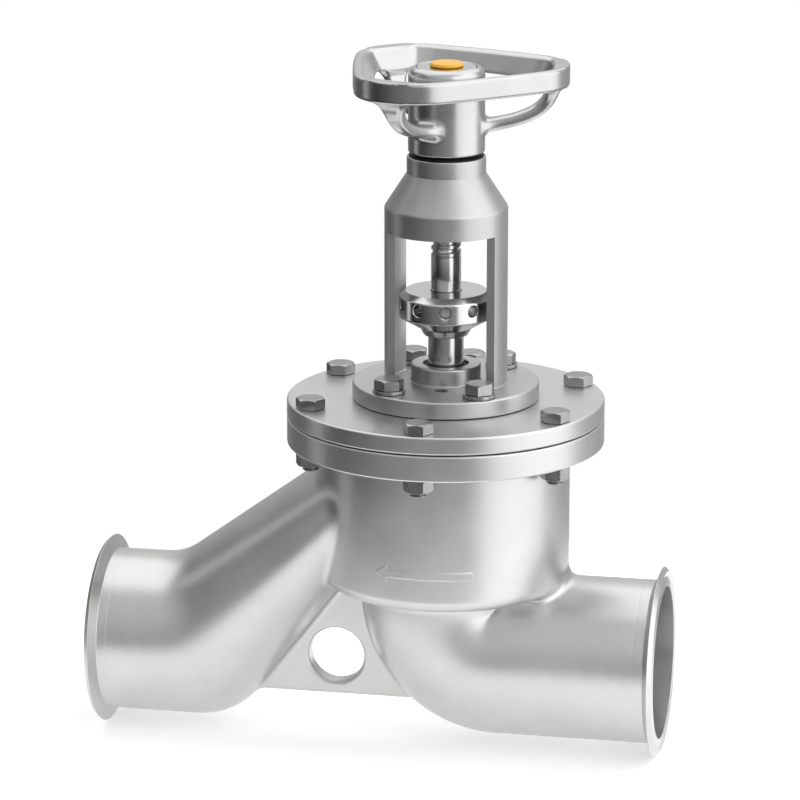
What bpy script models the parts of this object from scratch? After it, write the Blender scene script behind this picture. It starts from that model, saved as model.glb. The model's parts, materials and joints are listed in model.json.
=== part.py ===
"""Globe-pattern diaphragm valve with clamp ports, a bolted bonnet, a yoke and a handwheel.

Frame: the port axis is X, with the inlet at +X and the outlet at -X. The stem axis is Z.
The origin is where the two axes cross. All sizes are in metres.
"""

import math

import bmesh
import bpy
from mathutils import Matrix, Vector

MM = 0.001
GAP = 0.3 * MM

# Pipe and clamp ports, 4 inch sanitary size
PIPE_RADIUS = 50.8 * MM
PIPE_WALL = 3.2 * MM
BORE_RADIUS = PIPE_RADIUS - PIPE_WALL
INLET_FACE_X = 138.3 * MM
OUTLET_FACE_X = -218.85 * MM
FERRULE_RADIUS = 59.5 * MM
FERRULE_RIM = 2.85 * MM
FERRULE_TAPER_END = 6.4 * MM
FERRULE_LENGTH = 12.7 * MM
GASKET_GROOVE_RADIUS = 55.0 * MM
GASKET_GROOVE_HALF_WIDTH = 1.6 * MM
GASKET_GROOVE_DEPTH = 1.5 * MM

# Welded body
CHAMBER_RADIUS = 77.0 * MM
CHAMBER_WALL = 3.2 * MM
CHAMBER_LOW = 46.2 * MM
CHAMBER_FLOOR = 4.0 * MM
CHAMBER_EDGE_RADIUS = 8.0 * MM
ELBOW_BEND = 36.0 * MM
BRANCH_TOP_CORNER_X = -170.0 * MM
BRANCH_TOP_SLOPE = math.radians(36.0)
BRANCH_TOP_BEND = 37.0 * MM
BRANCH_TOP_END_X = -50.0 * MM
BRANCH_LOW_CORNER_X = -132.5 * MM
BRANCH_LOW_SLOPE = math.radians(52.8)
BRANCH_LOW_BEND = 45.0 * MM
BRANCH_LOW_END_X = -44.0 * MM
GUSSET_THICKNESS = 13.0 * MM
GUSSET_LOW = -32.6 * MM
GUSSET_HIGH = 45.0 * MM
GUSSET_LEFT_X = -130.0 * MM
GUSSET_RIGHT_X = -20.0 * MM
GUSSET_TOP_LEFT_X = -70.0 * MM
GUSSET_TOP_RIGHT_X = -46.0 * MM
GUSSET_HOLE_RADIUS = 17.6 * MM
GUSSET_HOLE_X = -68.5 * MM
GUSSET_HOLE_Z = -7.0 * MM

# Body flange, bonnet cover and their bolts
FLANGE_RADIUS = 98.0 * MM
FLANGE_LOW = 135.6 * MM
FLANGE_HIGH = 151.9 * MM
COVER_LOW = 152.5 * MM
COVER_HIGH = 163.5 * MM
COVER_RECESS_RADIUS = 72.0 * MM
COVER_RECESS_HIGH = 156.5 * MM
FLANGE_CHAMFER = 0.8 * MM
COVER_BOLT_CIRCLE = 87.4 * MM
COVER_BOLT_COUNT = 6
COVER_BOLT_START = math.radians(30.0)
BOLT_RADIUS = 5.0 * MM
BOLT_HOLE_RADIUS = 5.5 * MM
BOLT_FLAT = 8.0 * MM
BOLT_HEAD = 6.4 * MM
NUT_HEIGHT = 8.0 * MM
BOLT_TAIL = 3.0 * MM

# Diaphragm
DIAPHRAGM_RADIUS = 80.5 * MM
DIAPHRAGM_THICKNESS = 2.6 * MM
DIAPHRAGM_CENTRE_LOW = 117.7 * MM
DIAPHRAGM_HUB_RADIUS = 24.0 * MM
DIAPHRAGM_ROLL_RADIUS = 69.0 * MM

# Yoke
PLATE_RADIUS = 57.6 * MM
PLATE_LOW = 163.8 * MM
PLATE_HIGH = 174.3 * MM
YOKE_OUTER = 37.8 * MM
YOKE_INNER = 33.5 * MM
DOME_LOW = 269.2 * MM
DOME_WEB_LOW = 275.0 * MM
DOME_WEB_BORE = 13.5 * MM
DOME_SHOULDER = 283.5 * MM
BEARING_SEAT = 281.0 * MM
NECK_LOW = 304.5 * MM
NECK_HIGH = 315.0 * MM
NECK_RADIUS = 24.2 * MM
COLUMN_HALF_WIDTH = 17.7 * MM
PLATE_BOLT_CIRCLE = 47.5 * MM
PLATE_BOLT_ANGLES = [math.radians(angle) for angle in (54.0, 126.0, -126.0, -54.0)]
PLATE_BOLT_DEPTH = 8.0 * MM
WASHER_THICKNESS = 2.0 * MM
WASHER_RADIUS = 10.0 * MM
BOSS_RADIUS = 21.5 * MM
BOSS_HIGH = 185.2 * MM
BOSS_CHAMFER = 0.8 * MM
TELL_TALE_RADIUS = 4.0 * MM
TELL_TALE_REACH = 28.2 * MM
TELL_TALE_ANGLE = math.radians(-84.5)

# Guide bush, with the wiper ring on top of it
GUIDE_RADIUS = 13.7 * MM
GUIDE_BORE = 11.2 * MM
GUIDE_LOW = 157.0 * MM
GUIDE_HIGH = 179.6 * MM
GUIDE_FLANGE_RADIUS = 17.5 * MM
GUIDE_FLANGE_LOW = 160.3 * MM
GUIDE_FLANGE_HIGH = 163.2 * MM
SEAL_RADIUS = 13.6 * MM
SEAL_HIGH = 183.6 * MM

# Stem
STEM_RADIUS = 10.9 * MM
STEM_TIP_RADIUS = 8.0 * MM
STEM_TIP_LOW = 44.0 * MM
STEM_SHOULDER = 124.3 * MM
STEM_TOP = 216.5 * MM
SPINDLE_RADIUS = 9.2 * MM
SPINDLE_LOW = 217.5 * MM
SPINDLE_HIGH = 334.0 * MM
COLLAR_RADIUS = 28.9 * MM
COLLAR_TOP_RADIUS = 25.0 * MM
COLLAR_TAPER_RADIUS = 16.0 * MM
COLLAR_LOW_RADIUS = 13.5 * MM
COLLAR_HIGH = 231.0 * MM
COLLAR_CHAMFER_LOW = 227.5 * MM
COLLAR_SKIRT_HIGH = 215.0 * MM
COLLAR_TAPER_LOW = 207.5 * MM
COLLAR_LOW = 203.0 * MM
COLLAR_HOLE_HEIGHT = 222.7 * MM
COLLAR_HOLE_RADIUS = 3.25 * MM
COLLAR_HOLE_DEPTH = 10.0 * MM
COLLAR_HOLE_COUNT = 10
COLLAR_HOLE_START = math.radians(-80.0)

# Disc and seat
SEAT_BORE = 44.0 * MM
SEAT_RADIUS = 54.0 * MM
SEAT_HIGH = 57.0 * MM
SEAT_SPIGOT_LOW = 46.6 * MM
DISC_RADIUS = 51.5 * MM
DISC_BORE = 8.3 * MM
DISC_TOP = 117.4 * MM
DISC_HUB_RADIUS = 15.0 * MM
DISC_HUB_LOW = 80.0 * MM
DISC_CONE_RADIUS = 22.0 * MM
DISC_CONE_LOW = 72.0 * MM
DISC_RIM_HIGH = 66.0 * MM
DISC_LOW = 58.5 * MM
DISC_SEAL_OUTER = 49.9 * MM
DISC_SEAL_INNER = 42.3 * MM
DISC_SEAL_LOW = 57.3 * MM
DISC_SEAL_HIGH = 61.0 * MM
CLAMP_WASHER_THICKNESS = 3.1 * MM
SEAL_PLATE_LOW = 56.8 * MM
DISC_NUT_FLAT = 12.0 * MM
DISC_NUT_HEIGHT = 9.0 * MM
TURNED_EDGE = 1.0 * MM

# Drive in the yoke's neck
SLEEVE_BORE = 9.5 * MM
SLEEVE_RADIUS = 13.0 * MM
SLEEVE_LOW = 277.0 * MM
SLEEVE_HIGH = 350.0 * MM
SLEEVE_FLANGE_LOW = 284.1 * MM
SLEEVE_FLANGE_HIGH = 290.1 * MM
NECK_BORE = 17.0 * MM
RING_INNER = 13.4 * MM
RING_OUTER = 16.7 * MM
THRUST_WASHER = 2.5 * MM
RETAINER_HIGH = 314.7 * MM
NECK_RING_RADIUS = 23.3 * MM
NECK_RING_LOW = 315.3 * MM
NECK_RING_HIGH = 317.3 * MM

# Handwheel
HUB_LOW = 317.6 * MM
HUB_HIGH = 370.0 * MM
HUB_RADIUS = 23.4 * MM
HUB_TOP_RADIUS = 20.0 * MM
HUB_CHAMFER = 3.5 * MM
HUB_BORE = 13.3 * MM
HUB_NUT_POCKET_RADIUS = 16.6 * MM
HUB_NUT_POCKET_LOW = 341.0 * MM
HUB_LID_POCKET_RADIUS = 18.5 * MM
HUB_LID_POCKET_LOW = 366.0 * MM
WHEEL_ANGLE = math.radians(11.2)
RIM_REACH = 74.6 * MM
RIM_CORNER_RADIUS = 37.0 * MM
RIM_MIDDLE_REACH = 56.8 * MM
RIM_TOP_WIDTH = 6.0 * MM
RIM_LOW_WIDTH = 13.5 * MM
RIM_CORNER_STEPS = 8
RIM_SIDE_STEPS = 6
RIM_LOW = 358.3 * MM
RIM_HIGH = 371.6 * MM
RIM_EDGE = 1.6 * MM
SPOKE_COUNT = 3
SPOKE_PATH = [
    (63.5 * MM, 361.0 * MM), (62.0 * MM, 342.0 * MM),
    (48.0 * MM, 337.0 * MM), (17.0 * MM, 331.0 * MM)]
SPOKE_STEPS = 9
SPOKE_WIDTH_AT_RIM = 24.0 * MM
SPOKE_WIDTH_AT_HUB = 10.5 * MM
SPOKE_THICKNESS = 8.0 * MM
SPOKE_EDGE = 1.5 * MM
KEY_WIDTH = 4.0 * MM
KEY_LOW = 322.0 * MM
KEY_HIGH = 338.0 * MM
KEY_INNER = 11.3 * MM
KEY_OUTER = 15.0 * MM
WHEEL_NUT_FLAT = 14.0 * MM
WHEEL_NUT_HIGH = 348.5 * MM
LID_RADIUS = 18.2 * MM
LID_THICKNESS = 3.4 * MM
CAP_RADIUS = 10.3 * MM
CAP_HEIGHT = 2.3 * MM
CAP_SPIGOT_RADIUS = 8.0 * MM
CAP_SPIGOT_LOW = 364.5 * MM

# Facets
BIG_SEGMENTS = 32
SMALL_SEGMENTS = 20
FASTENER_SEGMENTS = 12
HOLE_SEGMENTS = 8
PIPE_SEGMENTS = 28
BEND_STEPS = 6
EDGE_STEPS = 4
DIAPHRAGM_STEPS = 6
SHARP_ANGLE = math.radians(35.0)

# How far a cutter reaches past the face that it opens
BEYOND = 10.0 * MM
THROUGH = 60.0 * MM
UPWARD = (0.0, 0.0, 1.0)


# --- helpers -------------------------------------------------------------------------


def clear_scene():
    """Remove everything that the new file starts with."""
    for item in list(bpy.data.objects):
        bpy.data.objects.remove(item)


def make_material(name, colour, roughness, metallic):
    """One Principled material."""
    material = bpy.data.materials.new(name)
    material.use_nodes = True
    shader = material.node_tree.nodes["Principled BSDF"]
    shader.inputs["Base Color"].default_value = (*colour, 1.0)
    shader.inputs["Roughness"].default_value = roughness
    shader.inputs["Metallic"].default_value = metallic
    return material


def new_object(name, mesh):
    """Put a mesh in the valve's collection under its own name."""
    item = bpy.data.objects.new(name, mesh)
    VALVE.objects.link(item)
    return item


def settle(item):
    """Replace an object's mesh with its shape after all its modifiers."""
    bpy.context.view_layer.update()
    graph = bpy.context.evaluated_depsgraph_get()
    mesh = bpy.data.meshes.new_from_object(item.evaluated_get(graph), depsgraph=graph)
    item.modifiers.clear()
    item.data = mesh


def face_outward(mesh):
    """Turn a closed mesh's faces to the outside."""
    shape = bmesh.new()
    shape.from_mesh(mesh)
    bmesh.ops.recalc_face_normals(shape, faces=shape.faces)
    shape.to_mesh(mesh)
    shape.free()


def finish(item, material):
    """Name the mesh, give it its material and shade its round faces smooth."""
    item.data.name = item.name
    item.data.materials.clear()
    item.data.materials.append(material)
    item.data.shade_smooth()
    item.data.set_sharp_from_angle(angle=SHARP_ANGLE)
    return item


def turned(name, outline, segments=SMALL_SEGMENTS, closed=True):
    """Turn an outline of (radius, height) points about Z; an open outline starts and ends on the axis."""
    edges = [(index, index + 1) for index in range(len(outline) - 1)]
    if closed:
        edges.append((len(outline) - 1, 0))
    mesh = bpy.data.meshes.new(name)
    mesh.from_pydata([(radius, 0.0, height) for radius, height in outline], edges, [])
    item = new_object(name, mesh)
    screw = item.modifiers.new("turn", "SCREW")
    screw.axis = "Z"
    screw.steps = segments
    screw.render_steps = segments
    screw.use_merge_vertices = True
    screw.merge_threshold = 0.01 * MM
    settle(item)
    face_outward(item.data)
    return item


def lofted(name, rings, closed=False):
    """Skin over rings of points; the last ring meets the first if closed, and is capped if not."""
    shape = bmesh.new()
    rows = [[shape.verts.new(point) for point in ring] for ring in rings]
    count = len(rows[0])
    pairs = list(zip(rows, rows[1:]))
    if closed:
        pairs.append((rows[-1], rows[0]))
    else:
        shape.faces.new(rows[0])
        shape.faces.new(rows[-1])
    for row, following in pairs:
        for index in range(count):
            after = (index + 1) % count
            shape.faces.new((row[index], row[after], following[after], following[index]))
    bmesh.ops.remove_doubles(shape, verts=shape.verts, dist=0.001 * MM)
    bmesh.ops.recalc_face_normals(shape, faces=shape.faces)
    mesh = bpy.data.meshes.new(name)
    shape.to_mesh(mesh)
    shape.free()
    return new_object(name, mesh)


def combine(item, tool, operation):
    """Join a tool to an item or cut it away, and remove the tool."""
    boolean = item.modifiers.new(operation, "BOOLEAN")
    boolean.operation = operation
    boolean.solver = "EXACT"
    boolean.object = tool
    settle(item)
    bpy.data.objects.remove(tool)


def cut(item, *tools):
    """Cut tools out of an item."""
    for tool in tools:
        combine(item, tool, "DIFFERENCE")


def join(item, *tools):
    """Make an item and its tools one body."""
    for tool in tools:
        combine(item, tool, "UNION")


def rods(name, centres, direction, radius, length, segments=FASTENER_SEGMENTS):
    """Round rods of one length, centred on some points, as one cutter."""
    turn = Vector((0.0, 0.0, 1.0)).rotation_difference(Vector(direction)).to_matrix().to_4x4()
    shape = bmesh.new()
    for centre in centres:
        bmesh.ops.create_cone(
            shape, cap_ends=True, segments=segments, radius1=radius, radius2=radius,
            depth=length, matrix=Matrix.Translation(centre) @ turn)
    mesh = bpy.data.meshes.new(name)
    shape.to_mesh(mesh)
    shape.free()
    return new_object(name, mesh)


def block(name, low, high):
    """A box between two corners."""
    size = Vector(high) - Vector(low)
    place = Matrix.Translation((Vector(low) + Vector(high)) / 2) @ Matrix.Diagonal((*size, 1.0))
    shape = bmesh.new()
    bmesh.ops.create_cube(shape, size=1.0, matrix=place)
    mesh = bpy.data.meshes.new(name)
    shape.to_mesh(mesh)
    shape.free()
    return new_object(name, mesh)


def ring_outline(inner, outer, low, high, chamfer=0.0):
    """A ring's outline, with its two outer edges chamfered if asked."""
    if chamfer == 0.0:
        return [(outer, high), (outer, low), (inner, low), (inner, high)]
    return [
        (outer - chamfer, high), (outer, high - chamfer), (outer, low + chamfer),
        (outer - chamfer, low), (inner, low), (inner, high)]


def arc(centre, radius, start, end, steps):
    """Points on an arc in a flat outline, from a start to an end angle in degrees."""
    angles = [math.radians(start + (end - start) * step / steps) for step in range(steps + 1)]
    return [(centre[0] + radius * math.cos(a), centre[1] + radius * math.sin(a)) for a in angles]


def circle_ring(radius, height, segments):
    """A level ring of points on a circle."""
    angles = [2 * math.pi * index / segments for index in range(segments)]
    return [(radius * math.cos(a), radius * math.sin(a), height) for a in angles]


def hexagon_ring(flat, height, segments):
    """A level ring of points on a hexagon that measures flat from its centre to a side."""
    points = []
    for index in range(segments):
        angle = 2 * math.pi * index / segments
        reach = flat / math.cos((angle + math.pi / 6) % (math.pi / 3) - math.pi / 6)
        points.append((reach * math.cos(angle), reach * math.sin(angle), height))
    return points


def polar(radius, angle, height=0.0):
    """A point at a radius and an angle about Z."""
    return Vector((radius * math.cos(angle), radius * math.sin(angle), height))


# --- fasteners -----------------------------------------------------------------------


def bolt_shape(name, tail_low):
    """A hex bolt whose head rests on height 0 and whose shank ends at tail_low."""
    return lofted(name, [
        hexagon_ring(BOLT_FLAT, BOLT_HEAD, FASTENER_SEGMENTS),
        hexagon_ring(BOLT_FLAT, 0.0, FASTENER_SEGMENTS),
        circle_ring(BOLT_RADIUS, 0.0, FASTENER_SEGMENTS),
        circle_ring(BOLT_RADIUS, tail_low, FASTENER_SEGMENTS)])


def nut_shape(name, flat, bore, low, high, segments=FASTENER_SEGMENTS):
    """A hex nut between two heights."""
    return lofted(name, [
        circle_ring(bore, high, segments), hexagon_ring(flat, high, segments),
        hexagon_ring(flat, low, segments), circle_ring(bore, low, segments)], closed=True)


def copies(template, prefix, places, turns, material):
    """Place copies that share one mesh, and remove the template."""
    finish(template, material)
    for number, (place, turn) in enumerate(zip(places, turns), start=1):
        item = new_object(f"{prefix}_{number}", template.data)
        item.location = place
        item.rotation_euler = (0.0, 0.0, turn)
    bpy.data.objects.remove(template)


def cover_bolt_angles():
    """Angles of the bonnet's bolts about the stem."""
    return [COVER_BOLT_START + 2 * math.pi * index / COVER_BOLT_COUNT for index in range(COVER_BOLT_COUNT)]


def cover_fasteners():
    """Bolts down through the cover and the body flange, with nuts below."""
    angles = cover_bolt_angles()
    head_seat = COVER_HIGH + GAP
    nut_high = FLANGE_LOW - GAP
    tail = nut_high - NUT_HEIGHT - BOLT_TAIL - head_seat
    bolt = bolt_shape("bolt_template", tail)
    copies(bolt, "cover_bolt", [polar(COVER_BOLT_CIRCLE, a, head_seat) for a in angles], angles, STEEL_DARK)
    nut = nut_shape("nut_template", BOLT_FLAT, BOLT_RADIUS + GAP, -NUT_HEIGHT, 0.0)
    copies(nut, "cover_nut", [polar(COVER_BOLT_CIRCLE, a, nut_high) for a in angles], angles, STEEL_DARK)


def plate_fasteners():
    """Short bolts with washers that hold the yoke down on the cover."""
    washer_low = PLATE_HIGH + GAP
    head_seat = washer_low + WASHER_THICKNESS + GAP
    angles = PLATE_BOLT_ANGLES
    tail = COVER_HIGH - PLATE_BOLT_DEPTH + GAP - head_seat
    bolt = bolt_shape("bolt_template", tail)
    copies(bolt, "yoke_bolt", [polar(PLATE_BOLT_CIRCLE, a, head_seat) for a in angles], angles, STEEL_DARK)
    outline = ring_outline(BOLT_RADIUS + GAP, WASHER_RADIUS, 0.0, WASHER_THICKNESS)
    washer = turned("washer_template", outline, FASTENER_SEGMENTS)
    places = [polar(PLATE_BOLT_CIRCLE, a, washer_low) for a in angles]
    copies(washer, "yoke_washer", places, angles, STEEL_DARK)


# --- welded body ---------------------------------------------------------------------


def chamber_envelope(name, grow):
    """The chamber's outside as a solid, standing off by grow, for cutting its neighbours."""
    radius = CHAMBER_RADIUS + grow
    low = CHAMBER_LOW - grow
    edge = CHAMBER_EDGE_RADIUS + grow
    corner = arc((radius - edge, low + edge), edge, 0.0, -90.0, EDGE_STEPS)
    outline = [(0.0, FLANGE_HIGH), (radius, FLANGE_HIGH)] + corner + [(0.0, low)]
    return turned(name, outline, BIG_SEGMENTS, closed=False)


def bent_line(start_x, corner, slope, bend, end_x):
    """A level line that bends up to a slope at a corner, as (x, z) points."""
    tangent = bend * math.tan(slope / 2)
    points = [(start_x, corner[1])]
    for step in range(BEND_STEPS + 1):
        angle = slope * step / BEND_STEPS
        x = corner[0] - tangent + bend * math.sin(angle)
        z = corner[1] + bend * (1.0 - math.cos(angle))
        points.append((x, z))
    points.append((end_x, corner[1] + (end_x - corner[0]) * math.tan(slope)))
    return points


def branch_solid(name, grow, start_x):
    """The outlet branch as a solid of oval sections, standing off by grow."""
    radius = PIPE_RADIUS + grow
    top_corner = (BRANCH_TOP_CORNER_X - grow * math.tan(BRANCH_TOP_SLOPE / 2), radius)
    low_corner = (BRANCH_LOW_CORNER_X + grow * math.tan(BRANCH_LOW_SLOPE / 2), -radius)
    top = bent_line(start_x, top_corner, BRANCH_TOP_SLOPE, BRANCH_TOP_BEND - grow, BRANCH_TOP_END_X)
    low = bent_line(start_x, low_corner, BRANCH_LOW_SLOPE, BRANCH_LOW_BEND + grow, BRANCH_LOW_END_X)
    rings = []
    for (top_x, top_z), (low_x, low_z) in zip(top, low):
        ring = []
        for index in range(PIPE_SEGMENTS):
            angle = 2 * math.pi * index / PIPE_SEGMENTS
            up = (1.0 + math.cos(angle)) / 2
            x = low_x + (top_x - low_x) * up
            z = low_z + (top_z - low_z) * up
            ring.append((x, radius * math.sin(angle), z))
        rings.append(ring)
    return lofted(name, rings)


def elbow_solid(name, radius, face_x, top_z):
    """The inlet elbow as a solid; its inner corner is a mitre because the bend is so tight."""
    rings = [[] for _ in range(BEND_STEPS + 3)]
    for index in range(PIPE_SEGMENTS):
        angle = 2 * math.pi * index / PIPE_SEGMENTS
        height = radius * math.cos(angle)
        y = radius * math.sin(angle)
        reach = max(ELBOW_BEND - height, 0.0)
        centre = max(ELBOW_BEND, height)
        rings[0].append((face_x, y, height))
        for step in range(BEND_STEPS + 1):
            turn = math.pi / 2 * step / BEND_STEPS
            rings[step + 1].append((centre - reach * math.sin(turn), y, centre - reach * math.cos(turn)))
        rings[-1].append((height, y, top_z))
    return lofted(name, rings)


def chamber_shell():
    """The round pot: open at the top, with the inlet in its floor and the outlet low on its side."""
    inner = CHAMBER_RADIUS - CHAMBER_WALL
    high = FLANGE_LOW - GAP
    floor = CHAMBER_LOW + CHAMBER_FLOOR
    edge = CHAMBER_EDGE_RADIUS
    inner_edge = edge - CHAMBER_WALL
    outside = arc((CHAMBER_RADIUS - edge, CHAMBER_LOW + edge), edge, 0.0, -90.0, EDGE_STEPS)
    inside = arc((inner - inner_edge, floor + inner_edge), inner_edge, -90.0, 0.0, EDGE_STEPS)
    outline = [(CHAMBER_RADIUS, high)] + outside
    outline += [(BORE_RADIUS, CHAMBER_LOW), (BORE_RADIUS, floor)]
    outline += inside + [(inner, high)]
    shell = turned("chamber_shell", outline, BIG_SEGMENTS)
    cut(shell, branch_solid("outlet_bore", -PIPE_WALL, OUTLET_FACE_X))
    finish(shell, STEEL_SATIN)


def inlet_elbow():
    """The pipe from the inlet ferrule that turns up into the chamber's floor."""
    face = INLET_FACE_X - FERRULE_LENGTH - GAP
    elbow = elbow_solid("inlet_elbow", PIPE_RADIUS, face, CHAMBER_LOW + BEYOND)
    bore = elbow_solid("inlet_bore", BORE_RADIUS, face + BEYOND, CHAMBER_LOW + 2 * BEYOND)
    cut(elbow, bore, chamber_envelope("chamber_clearance", GAP))
    finish(elbow, STEEL_SATIN)


def outlet_branch():
    """The oval branch that rises from the outlet ferrule to the chamber's side."""
    face = OUTLET_FACE_X + FERRULE_LENGTH + GAP
    branch = branch_solid("outlet_branch", 0.0, face)
    cut(branch, branch_solid("branch_bore", -PIPE_WALL, face - BEYOND))
    cut(branch, chamber_envelope("chamber_clearance", GAP))
    finish(branch, STEEL_SATIN)


def ferrule(name, face_x, outward):
    """A clamp ferrule: a rim with a gasket groove, a 20 degree back and a weld neck."""
    groove_low = GASKET_GROOVE_RADIUS - GASKET_GROOVE_HALF_WIDTH
    groove_high = GASKET_GROOVE_RADIUS + GASKET_GROOVE_HALF_WIDTH
    outline = [
        (BORE_RADIUS, 0.0), (groove_low, 0.0), (groove_low, -GASKET_GROOVE_DEPTH),
        (groove_high, -GASKET_GROOVE_DEPTH), (groove_high, 0.0), (FERRULE_RADIUS, 0.0),
        (FERRULE_RADIUS, -FERRULE_RIM), (PIPE_RADIUS, -FERRULE_TAPER_END),
        (PIPE_RADIUS, -FERRULE_LENGTH), (BORE_RADIUS, -FERRULE_LENGTH)]
    item = turned(name, outline, BIG_SEGMENTS)
    turn = Matrix.Rotation(outward * math.pi / 2, 4, "Y")
    item.data.transform(Matrix.Translation((face_x, 0.0, 0.0)) @ turn)
    finish(item, STEEL_SATIN)


def gusset_plate():
    """The plate with a round hole that ties the branch, the elbow and the chamber together."""
    half = GUSSET_THICKNESS / 2
    corners = [
        (GUSSET_LEFT_X, GUSSET_LOW), (GUSSET_RIGHT_X, GUSSET_LOW),
        (GUSSET_TOP_RIGHT_X, GUSSET_HIGH), (GUSSET_TOP_LEFT_X, GUSSET_HIGH)]
    plate = lofted("gusset_plate", [[(x, y, z) for x, z in corners] for y in (-half, half)])
    centre = (GUSSET_HOLE_X, 0.0, GUSSET_HOLE_Z)
    hole = rods("gusset_hole", [centre], (0.0, 1.0, 0.0), GUSSET_HOLE_RADIUS, 4 * half, PIPE_SEGMENTS)
    elbow = elbow_solid("elbow_clearance", PIPE_RADIUS + GAP, INLET_FACE_X, CHAMBER_LOW + BEYOND)
    branch = branch_solid("branch_clearance", GAP, OUTLET_FACE_X)
    cut(plate, hole, elbow, branch, chamber_envelope("chamber_clearance", GAP))
    finish(plate, STEEL_SATIN)


def body_flange():
    """The flange welded to the top of the chamber."""
    inner = CHAMBER_RADIUS - CHAMBER_WALL
    outline = ring_outline(inner, FLANGE_RADIUS, FLANGE_LOW, FLANGE_HIGH, FLANGE_CHAMFER)
    flange = turned("body_flange", outline, BIG_SEGMENTS)
    centres = [polar(COVER_BOLT_CIRCLE, a, FLANGE_LOW) for a in cover_bolt_angles()]
    cut(flange, rods("flange_holes", centres, UPWARD, BOLT_HOLE_RADIUS, THROUGH))
    finish(flange, STEEL_SATIN)


def seat_ring():
    """The ring that the disc closes on, with a spigot in the floor's hole."""
    floor = CHAMBER_LOW + CHAMBER_FLOOR + GAP
    spigot = BORE_RADIUS - GAP
    outline = [
        (SEAT_RADIUS - TURNED_EDGE, SEAT_HIGH), (SEAT_RADIUS, SEAT_HIGH - TURNED_EDGE),
        (SEAT_RADIUS, floor), (spigot, floor), (spigot, SEAT_SPIGOT_LOW),
        (SEAT_BORE, SEAT_SPIGOT_LOW), (SEAT_BORE, SEAT_HIGH)]
    finish(turned("seat_ring", outline, BIG_SEGMENTS), STEEL_POLISHED)


# --- bonnet --------------------------------------------------------------------------


def tell_tale_rod():
    """What the small upright hole in front of the boss takes out of the plate and the cover."""
    place = polar(TELL_TALE_REACH, TELL_TALE_ANGLE, PLATE_LOW)
    return rods("tell_tale", [place], UPWARD, TELL_TALE_RADIUS, THROUGH / 2)


def bonnet_cover():
    """The round cover, recessed below for the diaphragm and above for the guide bush."""
    rim_recess = DIAPHRAGM_RADIUS + 2 * GAP
    rim_recess_high = FLANGE_HIGH + GAP + DIAPHRAGM_THICKNESS + GAP
    bush_recess = GUIDE_FLANGE_RADIUS + GAP
    bore = GUIDE_RADIUS + GAP
    outline = [
        (FLANGE_RADIUS - FLANGE_CHAMFER, COVER_HIGH), (FLANGE_RADIUS, COVER_HIGH - FLANGE_CHAMFER),
        (FLANGE_RADIUS, COVER_LOW + FLANGE_CHAMFER), (FLANGE_RADIUS - FLANGE_CHAMFER, COVER_LOW),
        (rim_recess, COVER_LOW), (rim_recess, rim_recess_high),
        (COVER_RECESS_RADIUS, rim_recess_high), (COVER_RECESS_RADIUS, COVER_RECESS_HIGH),
        (bore, COVER_RECESS_HIGH), (bore, GUIDE_FLANGE_LOW - GAP),
        (bush_recess, GUIDE_FLANGE_LOW - GAP), (bush_recess, COVER_HIGH)]
    cover = turned("bonnet_cover", outline, BIG_SEGMENTS)
    through = [polar(COVER_BOLT_CIRCLE, a, COVER_HIGH) for a in cover_bolt_angles()]
    blind = [polar(PLATE_BOLT_CIRCLE, a, COVER_HIGH) for a in PLATE_BOLT_ANGLES]
    cut(cover, rods("cover_holes", through, UPWARD, BOLT_HOLE_RADIUS, THROUGH))
    cut(cover, rods("plate_bolt_holes", blind, UPWARD, BOLT_HOLE_RADIUS, 2 * PLATE_BOLT_DEPTH))
    cut(cover, tell_tale_rod())
    finish(cover, STEEL_SATIN)


def diaphragm_height(radius):
    """Height of the diaphragm's underside at a radius, an S curve from its hub up to its rim."""
    rim = FLANGE_HIGH + GAP
    share = (radius - DIAPHRAGM_HUB_RADIUS) / (DIAPHRAGM_ROLL_RADIUS - DIAPHRAGM_HUB_RADIUS)
    share = min(max(share, 0.0), 1.0)
    return DIAPHRAGM_CENTRE_LOW + (rim - DIAPHRAGM_CENTRE_LOW) * share * share * (3.0 - 2.0 * share)


def diaphragm():
    """The moulded sheet that seals the stem: clamped at its rim and on the stem."""
    span = (DIAPHRAGM_ROLL_RADIUS - DIAPHRAGM_HUB_RADIUS) / DIAPHRAGM_STEPS
    radii = [DISC_BORE] + [DIAPHRAGM_HUB_RADIUS + span * step for step in range(DIAPHRAGM_STEPS + 1)]
    radii.append(DIAPHRAGM_RADIUS)
    under = [(radius, diaphragm_height(radius)) for radius in radii]
    over = [(radius, height + DIAPHRAGM_THICKNESS) for radius, height in under]
    finish(turned("diaphragm", over + under[::-1]), RUBBER)


def guide_bush():
    """The bronze bush that guides the stem, held by its flange between the cover and the yoke."""
    outline = [
        (GUIDE_RADIUS, GUIDE_HIGH), (GUIDE_RADIUS, GUIDE_FLANGE_HIGH),
        (GUIDE_FLANGE_RADIUS, GUIDE_FLANGE_HIGH), (GUIDE_FLANGE_RADIUS, GUIDE_FLANGE_LOW),
        (GUIDE_RADIUS, GUIDE_FLANGE_LOW), (GUIDE_RADIUS, GUIDE_LOW),
        (GUIDE_BORE, GUIDE_LOW), (GUIDE_BORE, GUIDE_HIGH)]
    finish(turned("guide_bush", outline), BRONZE)


def stem_seal():
    """The wiper ring in the yoke's boss, on top of the guide bush."""
    outline = ring_outline(GUIDE_BORE, SEAL_RADIUS, GUIDE_HIGH + GAP, SEAL_HIGH)
    finish(turned("stem_seal", outline), RUBBER)


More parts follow.
